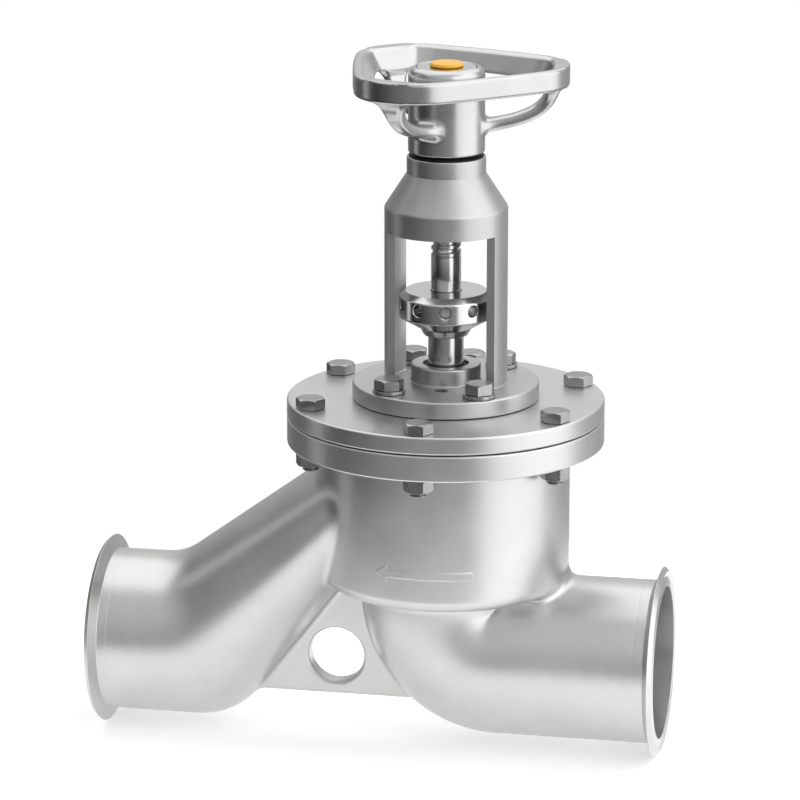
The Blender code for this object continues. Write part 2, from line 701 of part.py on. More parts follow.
def yoke_window(side):
    """What is cut away on one side between the columns, down to the plate, round the boss."""
    beyond = YOKE_OUTER + BEYOND
    near = side * COLUMN_HALF_WIDTH
    far = side * beyond
    window = block("yoke_window", (-beyond, min(near, far), PLATE_HIGH), (beyond, max(near, far), DOME_LOW))
    clear = BOSS_RADIUS + GAP
    height = 2 * (BOSS_HIGH - PLATE_HIGH) + BEYOND
    cut(window, rods("boss_room", [(0.0, 0.0, PLATE_HIGH)], UPWARD, clear, height, BIG_SEGMENTS))
    return window


def yoke():
    """Base plate with a boss, two columns, a dome and a neck, cast in one."""
    plate_bore = GUIDE_RADIUS + GAP
    outline = [
        (NECK_RADIUS, NECK_HIGH), (NECK_RADIUS, NECK_LOW), (YOKE_OUTER, DOME_SHOULDER),
        (YOKE_OUTER, PLATE_HIGH), (PLATE_RADIUS - FLANGE_CHAMFER, PLATE_HIGH),
        (PLATE_RADIUS, PLATE_HIGH - FLANGE_CHAMFER), (PLATE_RADIUS, PLATE_LOW),
        (plate_bore, PLATE_LOW), (plate_bore, BOSS_HIGH), (BOSS_RADIUS - BOSS_CHAMFER, BOSS_HIGH),
        (BOSS_RADIUS, BOSS_HIGH - BOSS_CHAMFER), (BOSS_RADIUS, PLATE_HIGH),
        (YOKE_INNER, PLATE_HIGH), (YOKE_INNER, DOME_WEB_LOW),
        (DOME_WEB_BORE, DOME_WEB_LOW), (DOME_WEB_BORE, BEARING_SEAT),
        (NECK_BORE, BEARING_SEAT), (NECK_BORE, NECK_HIGH)]
    casting = turned("yoke", outline, BIG_SEGMENTS)
    for side in (-1.0, 1.0):
        cut(casting, yoke_window(side))
    centres = [polar(PLATE_BOLT_CIRCLE, a, PLATE_LOW) for a in PLATE_BOLT_ANGLES]
    cut(casting, rods("plate_holes", centres, UPWARD, BOLT_HOLE_RADIUS, THROUGH / 2))
    cut(casting, tell_tale_rod())
    finish(casting, STEEL_SATIN)


def neck_rings():
    """Thrust washers below and above the drive sleeve's flange, the retainer and the dark neck ring."""
    lower = ring_outline(RING_INNER, RING_OUTER, BEARING_SEAT + GAP, BEARING_SEAT + GAP + THRUST_WASHER)
    upper_low = SLEEVE_FLANGE_HIGH + GAP
    upper = ring_outline(RING_INNER, RING_OUTER, upper_low, upper_low + THRUST_WASHER)
    retainer = ring_outline(RING_INNER, RING_OUTER, upper_low + THRUST_WASHER + GAP, RETAINER_HIGH)
    finish(turned("lower_thrust_washer", lower), BRONZE)
    finish(turned("upper_thrust_washer", upper), BRONZE)
    finish(turned("retaining_ring", retainer), STEEL_POLISHED)
    outline = ring_outline(RING_INNER, NECK_RING_RADIUS, NECK_RING_LOW, NECK_RING_HIGH)
    finish(turned("neck_ring", outline, BIG_SEGMENTS), RUBBER)


# --- stem ----------------------------------------------------------------------------


def collar():
    """The coupling between the spindle and the stem, with tommy bar holes round it."""
    spindle_bore = SPINDLE_RADIUS + GAP
    stem_bore = STEM_RADIUS + GAP
    outline = [
        (COLLAR_TOP_RADIUS, COLLAR_HIGH), (COLLAR_RADIUS, COLLAR_CHAMFER_LOW),
        (COLLAR_RADIUS, COLLAR_SKIRT_HIGH), (COLLAR_TAPER_RADIUS, COLLAR_TAPER_LOW),
        (COLLAR_LOW_RADIUS, COLLAR_LOW), (stem_bore, COLLAR_LOW), (stem_bore, SPINDLE_LOW - GAP),
        (spindle_bore, SPINDLE_LOW - GAP), (spindle_bore, COLLAR_HIGH)]
    item = turned("collar", outline, BIG_SEGMENTS)
    for index in range(COLLAR_HOLE_COUNT):
        angle = COLLAR_HOLE_START + 2 * math.pi * index / COLLAR_HOLE_COUNT
        centre = polar(COLLAR_RADIUS, angle, COLLAR_HOLE_HEIGHT)
        outward = polar(1.0, angle)
        depth = 2 * COLLAR_HOLE_DEPTH
        cut(item, rods("collar_hole", [centre], outward, COLLAR_HOLE_RADIUS, depth, HOLE_SEGMENTS))
    return finish(item, STEEL_POLISHED)


def stem_pieces():
    """Every piece that rises with the stem."""
    edge = TURNED_EDGE
    spindle = turned("spindle", [
        (0.0, SPINDLE_HIGH), (SPINDLE_RADIUS - edge, SPINDLE_HIGH), (SPINDLE_RADIUS, SPINDLE_HIGH - edge),
        (SPINDLE_RADIUS, SPINDLE_LOW), (0.0, SPINDLE_LOW)], closed=False)
    stem = turned("valve_stem", [
        (0.0, STEM_TOP), (STEM_RADIUS, STEM_TOP), (STEM_RADIUS, STEM_SHOULDER),
        (STEM_TIP_RADIUS, STEM_SHOULDER), (STEM_TIP_RADIUS, STEM_TIP_LOW + edge),
        (STEM_TIP_RADIUS - edge, STEM_TIP_LOW), (0.0, STEM_TIP_LOW)], closed=False)
    washer_high = STEM_SHOULDER - GAP
    washer = turned("diaphragm_clamp", ring_outline(
        DISC_BORE, DIAPHRAGM_HUB_RADIUS - edge, washer_high - CLAMP_WASHER_THICKNESS, washer_high))
    lip = DISC_SEAL_OUTER + GAP
    seal_seat = DISC_SEAL_HIGH + GAP
    disc = turned("valve_disc", [
        (DISC_HUB_RADIUS, DISC_TOP), (DISC_HUB_RADIUS, DISC_HUB_LOW), (DISC_CONE_RADIUS, DISC_CONE_LOW),
        (DISC_RADIUS - edge, DISC_RIM_HIGH), (DISC_RADIUS, DISC_RIM_HIGH - edge), (DISC_RADIUS, DISC_LOW),
        (lip, DISC_LOW), (lip, seal_seat), (DISC_BORE, seal_seat), (DISC_BORE, DISC_TOP)], BIG_SEGMENTS)
    seal = turned("disc_seal", ring_outline(
        DISC_SEAL_INNER, DISC_SEAL_OUTER, DISC_SEAL_LOW, DISC_SEAL_HIGH), BIG_SEGMENTS)
    plate = turned("seal_plate", ring_outline(
        DISC_BORE, DISC_SEAL_INNER - GAP, SEAL_PLATE_LOW, DISC_SEAL_HIGH), BIG_SEGMENTS)
    nut_high = SEAL_PLATE_LOW - GAP
    nut_low = nut_high - DISC_NUT_HEIGHT
    nut = nut_shape("disc_nut", DISC_NUT_FLAT, DISC_BORE, nut_low, nut_high, 2 * FASTENER_SEGMENTS)
    return [
        collar(), finish(spindle, STEEL_POLISHED), finish(stem, STEEL_POLISHED),
        finish(washer, STEEL_POLISHED), finish(disc, STEEL_POLISHED), finish(seal, SEAL_WHITE),
        finish(plate, STEEL_POLISHED), finish(nut, STEEL_DARK)]


# --- handwheel -----------------------------------------------------------------------


def rim_path():
    """Points round the rim's rounded triangle, each with its outward direction."""
    corner_centre = RIM_REACH - RIM_CORNER_RADIUS
    rise = RIM_MIDDLE_REACH - RIM_CORNER_RADIUS
    back = (corner_centre ** 2 - rise ** 2) / (2 * rise - corner_centre)
    side_radius = back + RIM_MIDDLE_REACH
    half = math.atan2(corner_centre * math.sin(math.pi / 3), corner_centre / 2 + back)
    path = []
    for index in range(SPOKE_COUNT):
        corner = WHEEL_ANGLE + 2 * math.pi * index / SPOKE_COUNT
        side = corner + math.pi / SPOKE_COUNT
        for step in range(RIM_CORNER_STEPS):
            facing = corner + (math.pi / 3 - half) * (2 * step / RIM_CORNER_STEPS - 1.0)
            point = polar(corner_centre, corner) + polar(RIM_CORNER_RADIUS, facing)
            path.append((point, polar(1.0, facing)))
        for step in range(RIM_SIDE_STEPS):
            facing = side + half * (2 * step / RIM_SIDE_STEPS - 1.0)
            point = polar(-back, side) + polar(side_radius, facing)
            path.append((point, polar(1.0, facing)))
    return path


def bevelled_section(width, height, edge):
    """A rectangle about the origin with its corners cut off."""
    wide = width / 2
    tall = height / 2
    return [
        (wide, tall - edge), (wide - edge, tall), (edge - wide, tall), (-wide, tall - edge),
        (-wide, edge - tall), (edge - wide, -tall), (wide - edge, -tall), (wide, edge - tall)]


def wheel_rim():
    """The rim on its rounded triangle: upright outside, sloping inside, narrower at the top."""
    edge = RIM_EDGE
    section = [
        (0.0, RIM_HIGH - edge), (edge, RIM_HIGH),
        (RIM_TOP_WIDTH - edge, RIM_HIGH), (RIM_TOP_WIDTH, RIM_HIGH - edge),
        (RIM_LOW_WIDTH, RIM_LOW + 2 * edge), (RIM_LOW_WIDTH - edge, RIM_LOW),
        (edge, RIM_LOW), (0.0, RIM_LOW + edge)]
    rings = []
    for point, outward in rim_path():
        rings.append([point - outward * inset + Vector((0.0, 0.0, height)) for inset, height in section])
    return lofted("handwheel", rings, closed=True)


def spoke_point(share):
    """A point on the spoke's curve, as (radius, height), and the curve's direction there."""
    start, first, second, end = (Vector(point) for point in SPOKE_PATH)
    rest = 1.0 - share
    point = (
        start * rest ** 3 + first * 3 * rest ** 2 * share
        + second * 3 * rest * share ** 2 + end * share ** 3)
    along = (
        (first - start) * rest ** 2 + (second - first) * 2 * rest * share
        + (end - second) * share ** 2)
    return point, along.normalized()


def wheel_spoke(index):
    """A curved spoke from the rim's corner down to the hub, wide at the rim."""
    angle = WHEEL_ANGLE + 2 * math.pi * index / SPOKE_COUNT
    outward = polar(1.0, angle)
    across = polar(1.0, angle + math.pi / 2)
    rings = []
    for step in range(SPOKE_STEPS + 1):
        share = step / SPOKE_STEPS
        point, along = spoke_point(share)
        normal = outward * -along.y + Vector((0.0, 0.0, along.x))
        width = SPOKE_WIDTH_AT_HUB + (SPOKE_WIDTH_AT_RIM - SPOKE_WIDTH_AT_HUB) * (1.0 - share) ** 3
        centre = outward * point.x + Vector((0.0, 0.0, point.y))
        section = bevelled_section(width, SPOKE_THICKNESS, SPOKE_EDGE)
        rings.append([centre + across * wide + normal * thick for wide, thick in section])
    return lofted("spoke", rings)


def handwheel():
    """Rim, spokes and hub in one casting, with a keyway in the hub's bore."""
    hub = turned("hub", [
        (HUB_TOP_RADIUS, HUB_HIGH), (HUB_RADIUS, HUB_HIGH - HUB_CHAMFER), (HUB_RADIUS, HUB_LOW),
        (HUB_BORE, HUB_LOW), (HUB_BORE, HUB_NUT_POCKET_LOW), (HUB_NUT_POCKET_RADIUS, HUB_NUT_POCKET_LOW),
        (HUB_NUT_POCKET_RADIUS, HUB_LID_POCKET_LOW), (HUB_LID_POCKET_RADIUS, HUB_LID_POCKET_LOW),
        (HUB_LID_POCKET_RADIUS, HUB_HIGH)], BIG_SEGMENTS)
    wheel = wheel_rim()
    join(wheel, *[wheel_spoke(index) for index in range(SPOKE_COUNT)], hub)
    half = KEY_WIDTH / 2 + GAP
    keyway_high = (KEY_HIGH + HUB_NUT_POCKET_LOW) / 2
    cut(wheel, block("hub_keyway", (0.0, -half, HUB_LOW - BEYOND), (KEY_OUTER + GAP, half, keyway_high)))
    return finish(wheel, STEEL_POLISHED)


def drive_sleeve():
    """The threaded sleeve that the handwheel turns and the spindle climbs in."""
    sleeve = turned("drive_sleeve", [
        (SLEEVE_RADIUS, SLEEVE_HIGH), (SLEEVE_RADIUS, SLEEVE_FLANGE_HIGH), (RING_OUTER, SLEEVE_FLANGE_HIGH),
        (RING_OUTER, SLEEVE_FLANGE_LOW), (SLEEVE_RADIUS, SLEEVE_FLANGE_LOW), (SLEEVE_RADIUS, SLEEVE_LOW),
        (SLEEVE_BORE, SLEEVE_LOW), (SLEEVE_BORE, SLEEVE_HIGH)])
    half = KEY_WIDTH / 2 + GAP
    low = (KEY_INNER - GAP, -half, KEY_LOW - GAP)
    high = (KEY_OUTER + GAP, half, KEY_HIGH + GAP)
    cut(sleeve, block("sleeve_keyway", low, high))
    return finish(sleeve, BRONZE)


def handwheel_pieces():
    """Every piece that turns with the handwheel."""
    half = KEY_WIDTH / 2
    key = block("wheel_key", (KEY_INNER, -half, KEY_LOW), (KEY_OUTER, half, KEY_HIGH))
    nut_low = HUB_NUT_POCKET_LOW + GAP
    nut_bore = SLEEVE_RADIUS + GAP
    nut = nut_shape("wheel_nut", WHEEL_NUT_FLAT, nut_bore, nut_low, WHEEL_NUT_HIGH, 2 * FASTENER_SEGMENTS)
    lid_low = HUB_LID_POCKET_LOW + GAP
    spigot_bore = CAP_SPIGOT_RADIUS + GAP
    lid_outline = ring_outline(spigot_bore, LID_RADIUS, lid_low, lid_low + LID_THICKNESS)
    lid = turned("hub_lid", lid_outline, BIG_SEGMENTS)
    edge = TURNED_EDGE
    cap_high = HUB_HIGH + CAP_HEIGHT
    cap = turned("indicator_cap", [
        (0.0, cap_high), (CAP_RADIUS - edge, cap_high), (CAP_RADIUS, cap_high - edge),
        (CAP_RADIUS, HUB_HIGH), (CAP_SPIGOT_RADIUS, HUB_HIGH), (CAP_SPIGOT_RADIUS, CAP_SPIGOT_LOW),
        (0.0, CAP_SPIGOT_LOW)], closed=False)
    return [
        handwheel(), drive_sleeve(), finish(key, STEEL_DARK), finish(nut, STEEL_DARK),
        finish(lid, STEEL_POLISHED), finish(cap, YELLOW)]


def carry(name, pieces):
    """Hang moving pieces on an empty that stands on the stem axis."""
    carrier = bpy.data.objects.new(name, None)
    VALVE.objects.link(carrier)
    for piece in pieces:
        piece.parent = carrier


def build():
    """Build the whole valve."""
    chamber_shell()
    inlet_elbow()
    outlet_branch()
    ferrule("inlet_ferrule", INLET_FACE_X, 1.0)
    ferrule("outlet_ferrule", OUTLET_FACE_X, -1.0)
    gusset_plate()
    body_flange()
    seat_ring()
    bonnet_cover()
    diaphragm()
    guide_bush()
    stem_seal()
    yoke()
    neck_rings()
    cover_fasteners()
    plate_fasteners()
    carry("stem_axis", stem_pieces())
    carry("handwheel_axis", handwheel_pieces())


clear_scene()
VALVE = bpy.data.collections.new("diaphragm_valve")
bpy.context.scene.collection.children.link(VALVE)

STEEL_SATIN = make_material("satin_steel", (0.62, 0.62, 0.61), 0.38, 1.0)
STEEL_POLISHED = make_material("polished_steel", (0.72, 0.72, 0.72), 0.16, 1.0)
STEEL_DARK = make_material("bolt_steel", (0.50, 0.50, 0.51), 0.30, 1.0)
BRONZE = make_material("bronze", (0.60, 0.42, 0.22), 0.35, 1.0)
RUBBER = make_material("black_rubber", (0.03, 0.03, 0.035), 0.55, 0.0)
SEAL_WHITE = make_material("seal_white", (0.85, 0.85, 0.82), 0.40, 0.0)
YELLOW = make_material("yellow_plastic", (0.90, 0.55, 0.04), 0.35, 0.0)

build()
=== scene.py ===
"""Looks for the diaphragm valve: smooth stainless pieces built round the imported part.

Every piece is in metres in the part's own frame. The fields below work in millimetres.
"""

import json
import math

import bmesh
import bpy
import numpy as np
from mathutils import Matrix, Vector


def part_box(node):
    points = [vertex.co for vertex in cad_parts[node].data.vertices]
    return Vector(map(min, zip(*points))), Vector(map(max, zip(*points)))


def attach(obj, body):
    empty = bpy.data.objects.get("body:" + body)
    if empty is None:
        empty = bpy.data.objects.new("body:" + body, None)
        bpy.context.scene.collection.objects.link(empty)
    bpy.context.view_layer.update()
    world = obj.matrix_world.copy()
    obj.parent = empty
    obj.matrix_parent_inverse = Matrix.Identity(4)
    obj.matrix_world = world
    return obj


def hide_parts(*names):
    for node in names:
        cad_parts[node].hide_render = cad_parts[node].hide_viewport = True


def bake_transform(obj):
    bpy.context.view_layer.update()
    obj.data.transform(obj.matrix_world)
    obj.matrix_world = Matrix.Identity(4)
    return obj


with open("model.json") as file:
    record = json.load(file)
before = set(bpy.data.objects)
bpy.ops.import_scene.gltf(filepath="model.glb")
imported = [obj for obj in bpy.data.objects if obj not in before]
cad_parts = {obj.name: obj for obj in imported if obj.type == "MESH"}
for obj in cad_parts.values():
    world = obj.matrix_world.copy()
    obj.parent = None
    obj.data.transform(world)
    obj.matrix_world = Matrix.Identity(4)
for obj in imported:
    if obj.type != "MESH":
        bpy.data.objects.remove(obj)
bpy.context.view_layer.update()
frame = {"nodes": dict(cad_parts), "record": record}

MM = 0.001
BODY_OF = {
    node: body for body, nodes in frame["record"]["behaviour"]["bodies"].items() for node in nodes}
SLOT_OF = {part["node"]: part["material_slot"] for part in frame["record"]["subparts"]}

# How round and how fine the turned pieces are
SEGMENTS = 128
ROUND_STEPS = 4
SLICE_ANGLE = 1e-4
SAME_POINT = 1e-6
SHARP_ANGLE = math.radians(48.0)
CORNER_TURN = math.radians(12.0)
STRAIGHT_TURN = math.radians(0.5)
CORNER_SHARE = 0.42
# How far each turned node's corners are rounded, in millimetres
ROUND_MM = {
    "seat_ring": 0.6, "guide_bush": 0.5, "stem_seal": 0.9, "lower_thrust_washer": 0.3,
    "upper_thrust_washer": 0.3, "retaining_ring": 0.3, "neck_ring": 0.5, "valve_stem": 0.6,
    "diaphragm_clamp": 0.5, "valve_disc": 1.2, "disc_seal": 0.5, "seal_plate": 0.5, "hub_lid": 0.6,
    "indicator_cap": 1.1, "inlet_ferrule": 0.5, "outlet_ferrule": 0.5, "body_flange": 0.9,
    "bonnet_cover": 0.9, "yoke": 1.0, "collar": 0.8, "diaphragm": 1.0, "yoke_washer": 0.3}

# Welded body, in millimetres
PIPE = 50.8
WALL = 3.2
CHAMBER = 77.0
CHAMBER_LOW = 46.2
CHAMBER_TOP = 135.3
CHAMBER_FLOOR = 4.0
CHAMBER_EDGE = 8.0
ELBOW_BEND = 36.0
INLET_END = 128.6
OUTLET_END = -209.15
END_TUCK = 0.3
END_TUCK_REACH = 4.0
# Outlet branch's upper and lower lines: where each starts to rise, how steeply in degrees, how softly
BRANCH_TOP = (-170.0, 36.0, 7.2)
BRANCH_LOW = (-132.5, 52.8, 18.8)
BRANCH_STOP = -48.0
# Gusset's corners as (x, z), and its hole as (x, z, radius)
GUSSET = [(-130.0, -32.6), (-20.0, -32.6), (-46.0, 45.0), (-70.0, 45.0)]
GUSSET_HALF = 6.5
GUSSET_HOLE = (-68.5, -7.0, 17.6)
GUSSET_EDGE = 2.4
ELBOW_FILLET = 9.0
BRANCH_FILLET = 5.0
GUSSET_FILLET = 3.5
BODY_STEP = 1.8
BODY_KEEP = 0.6

# Handwheel, in millimetres
WHEEL_ANGLE = math.radians(11.2)
RIM_REACH = 74.6
RIM_CORNER = 37.0
RIM_MIDDLE = 56.8
RIM_LOW = 358.3
RIM_HIGH = 371.6
RIM_TOP_WIDTH = 6.0
RIM_LOW_WIDTH = 13.5
RIM_ROUND = 2.4
# A spoke's middle line as (distance from the axis, height), from the rim to inside the hub
SPOKE_PATH = [
    (68.0, 368.0), (66.0, 361.0), (63.4, 353.0), (60.0, 347.4), (53.5, 342.0), (44.3, 338.0),
    (35.0, 335.6), (26.0, 334.0), (18.0, 333.0), (10.0, 332.5)]
SPOKE_CURVE_STEPS = 3
SPOKE_HALF_WIDTH = 5.2
SPOKE_HALF_THICK = 3.9
SPOKE_ROUND = 3.2
SPOKE_FLARE = 8.5
SPOKE_FLARE_LOW = 344.0
SPOKE_FLARE_HIGH = 362.0
# How much wider a spoke gets at the hub, and between which distances from the axis
SPOKE_ROOT_FLARE = 3.0
SPOKE_ROOT = (22.0, 36.0)
RIM_FILLET = 5.0
HUB_FILLET = 4.5
HUB_RADIUS = 23.4
HUB_LOW = 317.6
HUB_HIGH = 370.0
HUB_ROUND = 1.6
HUB_BORE = 13.3
# The hub's chamfer as (upper radius, lower height), and its pockets as (radius, lower height)
HUB_CONE = (20.2, 366.6)
NUT_POCKET = (16.6, 341.0)
LID_POCKET = (18.5, 366.0)
KEYWAY_HALF = 2.3
KEYWAY_REACH = 15.3
KEYWAY_HIGH = 339.5
POCKET_ROUND = 0.8
HUB_FOOT_ROUND = 1.0
WHEEL_STEP = 0.95

# Holes and windows in turned pieces, in metres; a cutter runs past a face by PAST
PAST = 5.0 * MM
BOLT_HOLE = 5.5 * MM
PLATE_BOLT_DEPTH = 8.0 * MM
WINDOW_HALF = 17.7 * MM
WINDOW_LOW = 174.3 * MM
WINDOW_HIGH = 269.2 * MM
WINDOW_REACH = 60.0 * MM
PLATE_THROUGH = 20.0 * MM
BOSS_CLEAR = 21.8 * MM
BOSS_RISE = 12.0 * MM
YOKE_EDGE = 0.5 * MM
# Tell-tale hole: how far out, at which angle, and its radius
TELL_TALE = (28.2 * MM, math.radians(-84.5), 4.0 * MM)
COLLAR_HOLES = 10
COLLAR_HOLE_START = math.radians(-80.0)
COLLAR_HOLE_HEIGHT = 222.7 * MM
COLLAR_HOLE = 3.25 * MM
COLLAR_HOLE_END = 19.0 * MM
COLLAR_HOLE_FLARE = 0.9 * MM

# Fasteners
HEX_STEPS = 96
HEX_REST = 0.94
HEX_CHAMFER = math.radians(30.0)
HEX_SHARP = math.radians(22.0)
BOLT_RADIUS = 5.0 * MM
BOLT_FLAT = 8.0 * MM
BOLT_HEAD = 6.4 * MM
BOLT_PITCH = 1.5 * MM
THREAD_DEPTH = 0.7 * MM
THREAD_LENGTH = 12.0 * MM
NUT_BORE = 5.3 * MM
WHEEL_NUT_FLAT = 14.0 * MM
WHEEL_NUT_BORE = 13.3 * MM
SPINDLE_THREAD_LOW = 252.0 * MM
SPINDLE_PITCH = 5.0 * MM
SPINDLE_DEPTH = 1.3 * MM
SPINDLE_EDGE = 0.8 * MM
# A groove's depth over one pitch is a squared sine, times the first value, less the second, kept in 0 to 1
SPINDLE_GROOVE = (2.4, 0.9)
SPINDLE_SEGMENTS = 72
SPINDLE_ROWS_PER_TURN = 16

# Flow arrow on the chamber's front, in millimetres: its centre as (along the wall, height), and its
# head as (length, half width); it rises by the relief, slopes at its edges and starts inside the wall
ARROW_CENTRE = (0.0, 70.5)
ARROW_HALF_LENGTH = 31.5
ARROW_LINE = 2.9
ARROW_HEAD = (9.5, 6.4)
ARROW_RELIEF = 0.8
ARROW_SLOPE = 1.1
ARROW_SINK = 0.4
ARROW_FOOT = 0.02
ARROW_STEP = 1.5


# --- meshes --------------------------------------------------------------------------


def new_object(name, mesh):
    """Put a mesh in the scene under its own name."""
    item = bpy.data.objects.new(name, mesh)
    bpy.context.scene.collection.objects.link(item)
    return item


def settle(item):
    """Replace an object's mesh with its shape after all its modifiers."""
    bpy.context.view_layer.update()
    graph = bpy.context.evaluated_depsgraph_get()
    mesh = bpy.data.meshes.new_from_object(item.evaluated_get(graph), depsgraph=graph)
    item.modifiers.clear()
    item.data = mesh


def cut(item, *tools):
    """Cut tools out of an item and remove them."""
    for tool in tools:
        boolean = item.modifiers.new("cut", "BOOLEAN")
        boolean.operation = "DIFFERENCE"
        boolean.solver = "EXACT"
        boolean.object = tool
        settle(item)
        bpy.data.objects.remove(tool)


def place(item, *nodes):
    """Let a piece stand for its nodes: their body and their material slot."""
    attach(item, BODY_OF[nodes[0]])
    dress(item, *nodes)


def dress(item, *nodes):
    """Give a piece its nodes' finish and hide the nodes."""
    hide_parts(*nodes)
    slot = SLOT_OF[nodes[0]]
    look = LOOKS.get(nodes[0], slot)
    item.data.materials.clear()
    item.data.materials.append(FINISHES[look])


def shade(item):
    """Smooth faces, with flat faces kept flat beside small round edges."""
    item.data.shade_smooth()
    item.data.set_sharp_from_angle(angle=SHARP_ANGLE)
    weighted = item.modifiers.new("normals", "WEIGHTED_NORMAL")
    weighted.keep_sharp = True
    settle(item)


def loft(name, rings, closed):
    """Skin over rings of points; the last ring meets the first if closed, and is capped if not."""
    shape = bmesh.new()
    rows = [[shape.verts.new(point) for point in ring] for ring in rings]
    count = len(rows[0])
    pairs = list(zip(rows, rows[1:]))
    if closed:
        pairs.append((rows[-1], rows[0]))
    for row, following in pairs:
        for index in range(count):
            after = (index + 1) % count
            shape.faces.new((row[index], row[after], following[after], following[index]))
    if not closed:
        for row in (rows[0], rows[-1]):
            if (row[0].co - row[1].co).length > SAME_POINT:
                shape.faces.new(row)
    bmesh.ops.remove_doubles(shape, verts=shape.verts, dist=SAME_POINT)
    bmesh.ops.recalc_face_normals(shape, faces=shape.faces)
    mesh = bpy.data.meshes.new(name)
    shape.to_mesh(mesh)
    shape.free()
    return new_object(name, mesh)


def circle(radius, height, segments=SEGMENTS):
    """A level ring of points."""
    angles = [2 * math.pi * index / segments for index in range(segments)]
    return [(radius * math.cos(a), radius * math.sin(a), height) for a in angles]


def polar(radius, angle, height=0.0):
    """A point at a radius and an angle about Z."""
    return Vector((radius * math.cos(angle), radius * math.sin(angle), height))


def rod(radius, low, high, centre=(0.0, 0.0), segments=48):
    """An upright round cutter."""
    item = loft("rod", [circle(radius, low, segments), circle(radius, high, segments)], False)
    item.data.transform(Matrix.Translation((centre[0], centre[1], 0.0)))
    return item


# --- turned pieces -------------------------------------------------------------------


def section_of(node, turn):
    """A turned node's outline as (radius, height) points, sliced just beside +X, and if it is closed."""
    shape = bmesh.new()
    shape.from_mesh(frame["nodes"][node].data)
    shape.transform(turn.inverted())
    bmesh.ops.remove_doubles(shape, verts=shape.verts, dist=SAME_POINT)
    across = Vector((-math.sin(SLICE_ANGLE), math.cos(SLICE_ANGLE), 0.0))
    geometry = shape.verts[:] + shape.edges[:] + shape.faces[:]
    sliced = bmesh.ops.bisect_plane(
        shape, geom=geometry, dist=SAME_POINT / 10, plane_co=(0.0, 0.0, 0.0), plane_no=across)
    links = {}
    for edge in sliced["geom_cut"]:
        if not isinstance(edge, bmesh.types.BMEdge):
            continue
        ends = [vert.co for vert in edge.verts]
        if max(end.x for end in ends) < SAME_POINT:
            continue
        keys = [(max(round(end.x / SAME_POINT), 0), round(end.z / SAME_POINT)) for end in ends]
        if keys[0] != keys[1]:
            links.setdefault(keys[0], set()).add(keys[1])
            links.setdefault(keys[1], set()).add(keys[0])
    shape.free()
    loose = [key for key, others in links.items() if len(others) == 1]
    here = loose[0] if loose else next(iter(links))
    order = [here]
    seen = {here}
    while True:
        ahead = [key for key in links[here] if key not in seen]
        if not ahead:
            break
        here = ahead[0]
        seen.add(here)
        order.append(here)
    return [Vector((r * SAME_POINT, z * SAME_POINT)) for r, z in order], not loose


def rounded(outline, closed, radius):
    """The outline with its corners rounded, and points on straight runs left out."""
    count = len(outline)
    result = []
    for index, here in enumerate(outline):
        if not closed and index in (0, count - 1):
            result.append(here)
            continue
        before = outline[index - 1] - here
        after = outline[(index + 1) % count] - here
        turn = math.pi - before.angle(after)
        if turn < STRAIGHT_TURN:
            continue
        if turn < CORNER_TURN:
            result.append(here)
            continue
        reach = min(radius, CORNER_SHARE * before.length, CORNER_SHARE * after.length)
        start = here + before.normalized() * reach
        end = here + after.normalized() * reach
        for step in range(ROUND_STEPS + 1):
            t = step / ROUND_STEPS
            result.append(start * (1 - t) ** 2 + here * 2 * t * (1 - t) + end * t ** 2)
    return result


def straightened(outline, closed):
    """The outline without the points that lie on a straight run."""
    result = []
    count = len(outline)
    for index, here in enumerate(outline):
        if closed or index not in (0, count - 1):
            before = here - outline[index - 1]
            after = outline[(index + 1) % count] - here
            if before.length < SAME_POINT or before.angle(after) < STRAIGHT_TURN:
                continue
        result.append(here)
    return result


def turned(node, turn=Matrix.Identity(4)):
    """A turned node made again with round corners and many segments."""
    outline, closed = section_of(node, turn)
    radius = ROUND_MM[node.rstrip("_1234")] * MM
    outline = rounded(straightened(outline, closed), closed, radius)
    rings = []
    for index in range(SEGMENTS):
        angle = 2 * math.pi * index / SEGMENTS
        rings.append([(p.x * math.cos(angle), p.x * math.sin(angle), p.y) for p in outline])
    shape = bmesh.new()
    rows = [[shape.verts.new(point) for point in ring] for ring in rings]
    last = len(outline) - 1
    for index in range(SEGMENTS):
        row = rows[index]
        following = rows[(index + 1) % SEGMENTS]
        for step in range(len(outline) if closed else last):
            after = (step + 1) % len(outline)
            shape.faces.new((row[step], row[after], following[after], following[step]))
    bmesh.ops.remove_doubles(shape, verts=shape.verts, dist=SAME_POINT)
    bmesh.ops.dissolve_degenerate(shape, dist=SAME_POINT / 10, edges=shape.edges)
    bmesh.ops.recalc_face_normals(shape, faces=shape.faces)
    mesh = bpy.data.meshes.new(node + "_looks")
    shape.to_mesh(mesh)
    shape.free()
    mesh.transform(turn)
    return new_object(node + "_looks", mesh)


def centres_of(prefix, count):
    """Where numbered upright pieces stand: their (x, y) middles."""
    places = []
    for index in range(count):
        low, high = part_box(f"{prefix}_{index + 1}")
        places.append(((low + high) / 2).to_2d())
    return places


def plain_turned_pieces():
    """The turned pieces that need no holes."""
    upright = [
        "seat_ring", "guide_bush", "stem_seal", "lower_thrust_washer", "upper_thrust_washer",
        "retaining_ring", "neck_ring", "valve_stem", "diaphragm_clamp", "valve_disc", "disc_seal",
        "seal_plate", "hub_lid", "indicator_cap"]
    turns = {node: Matrix.Identity(4) for node in upright}
    for index, (x, y) in enumerate(centres_of("yoke_washer", 4)):
        turns[f"yoke_washer_{index + 1}"] = (
            Matrix.Translation((x, y, 0.0)) @ Matrix.Rotation(math.atan2(y, x), 4, "Z"))
    turns["inlet_ferrule"] = Matrix.Rotation(math.pi / 2, 4, "Y")
    turns["outlet_ferrule"] = Matrix.Rotation(-math.pi / 2, 4, "Y")
    for node, turn in turns.items():
        item = turned(node, turn)
        shade(item)
        place(item, node)


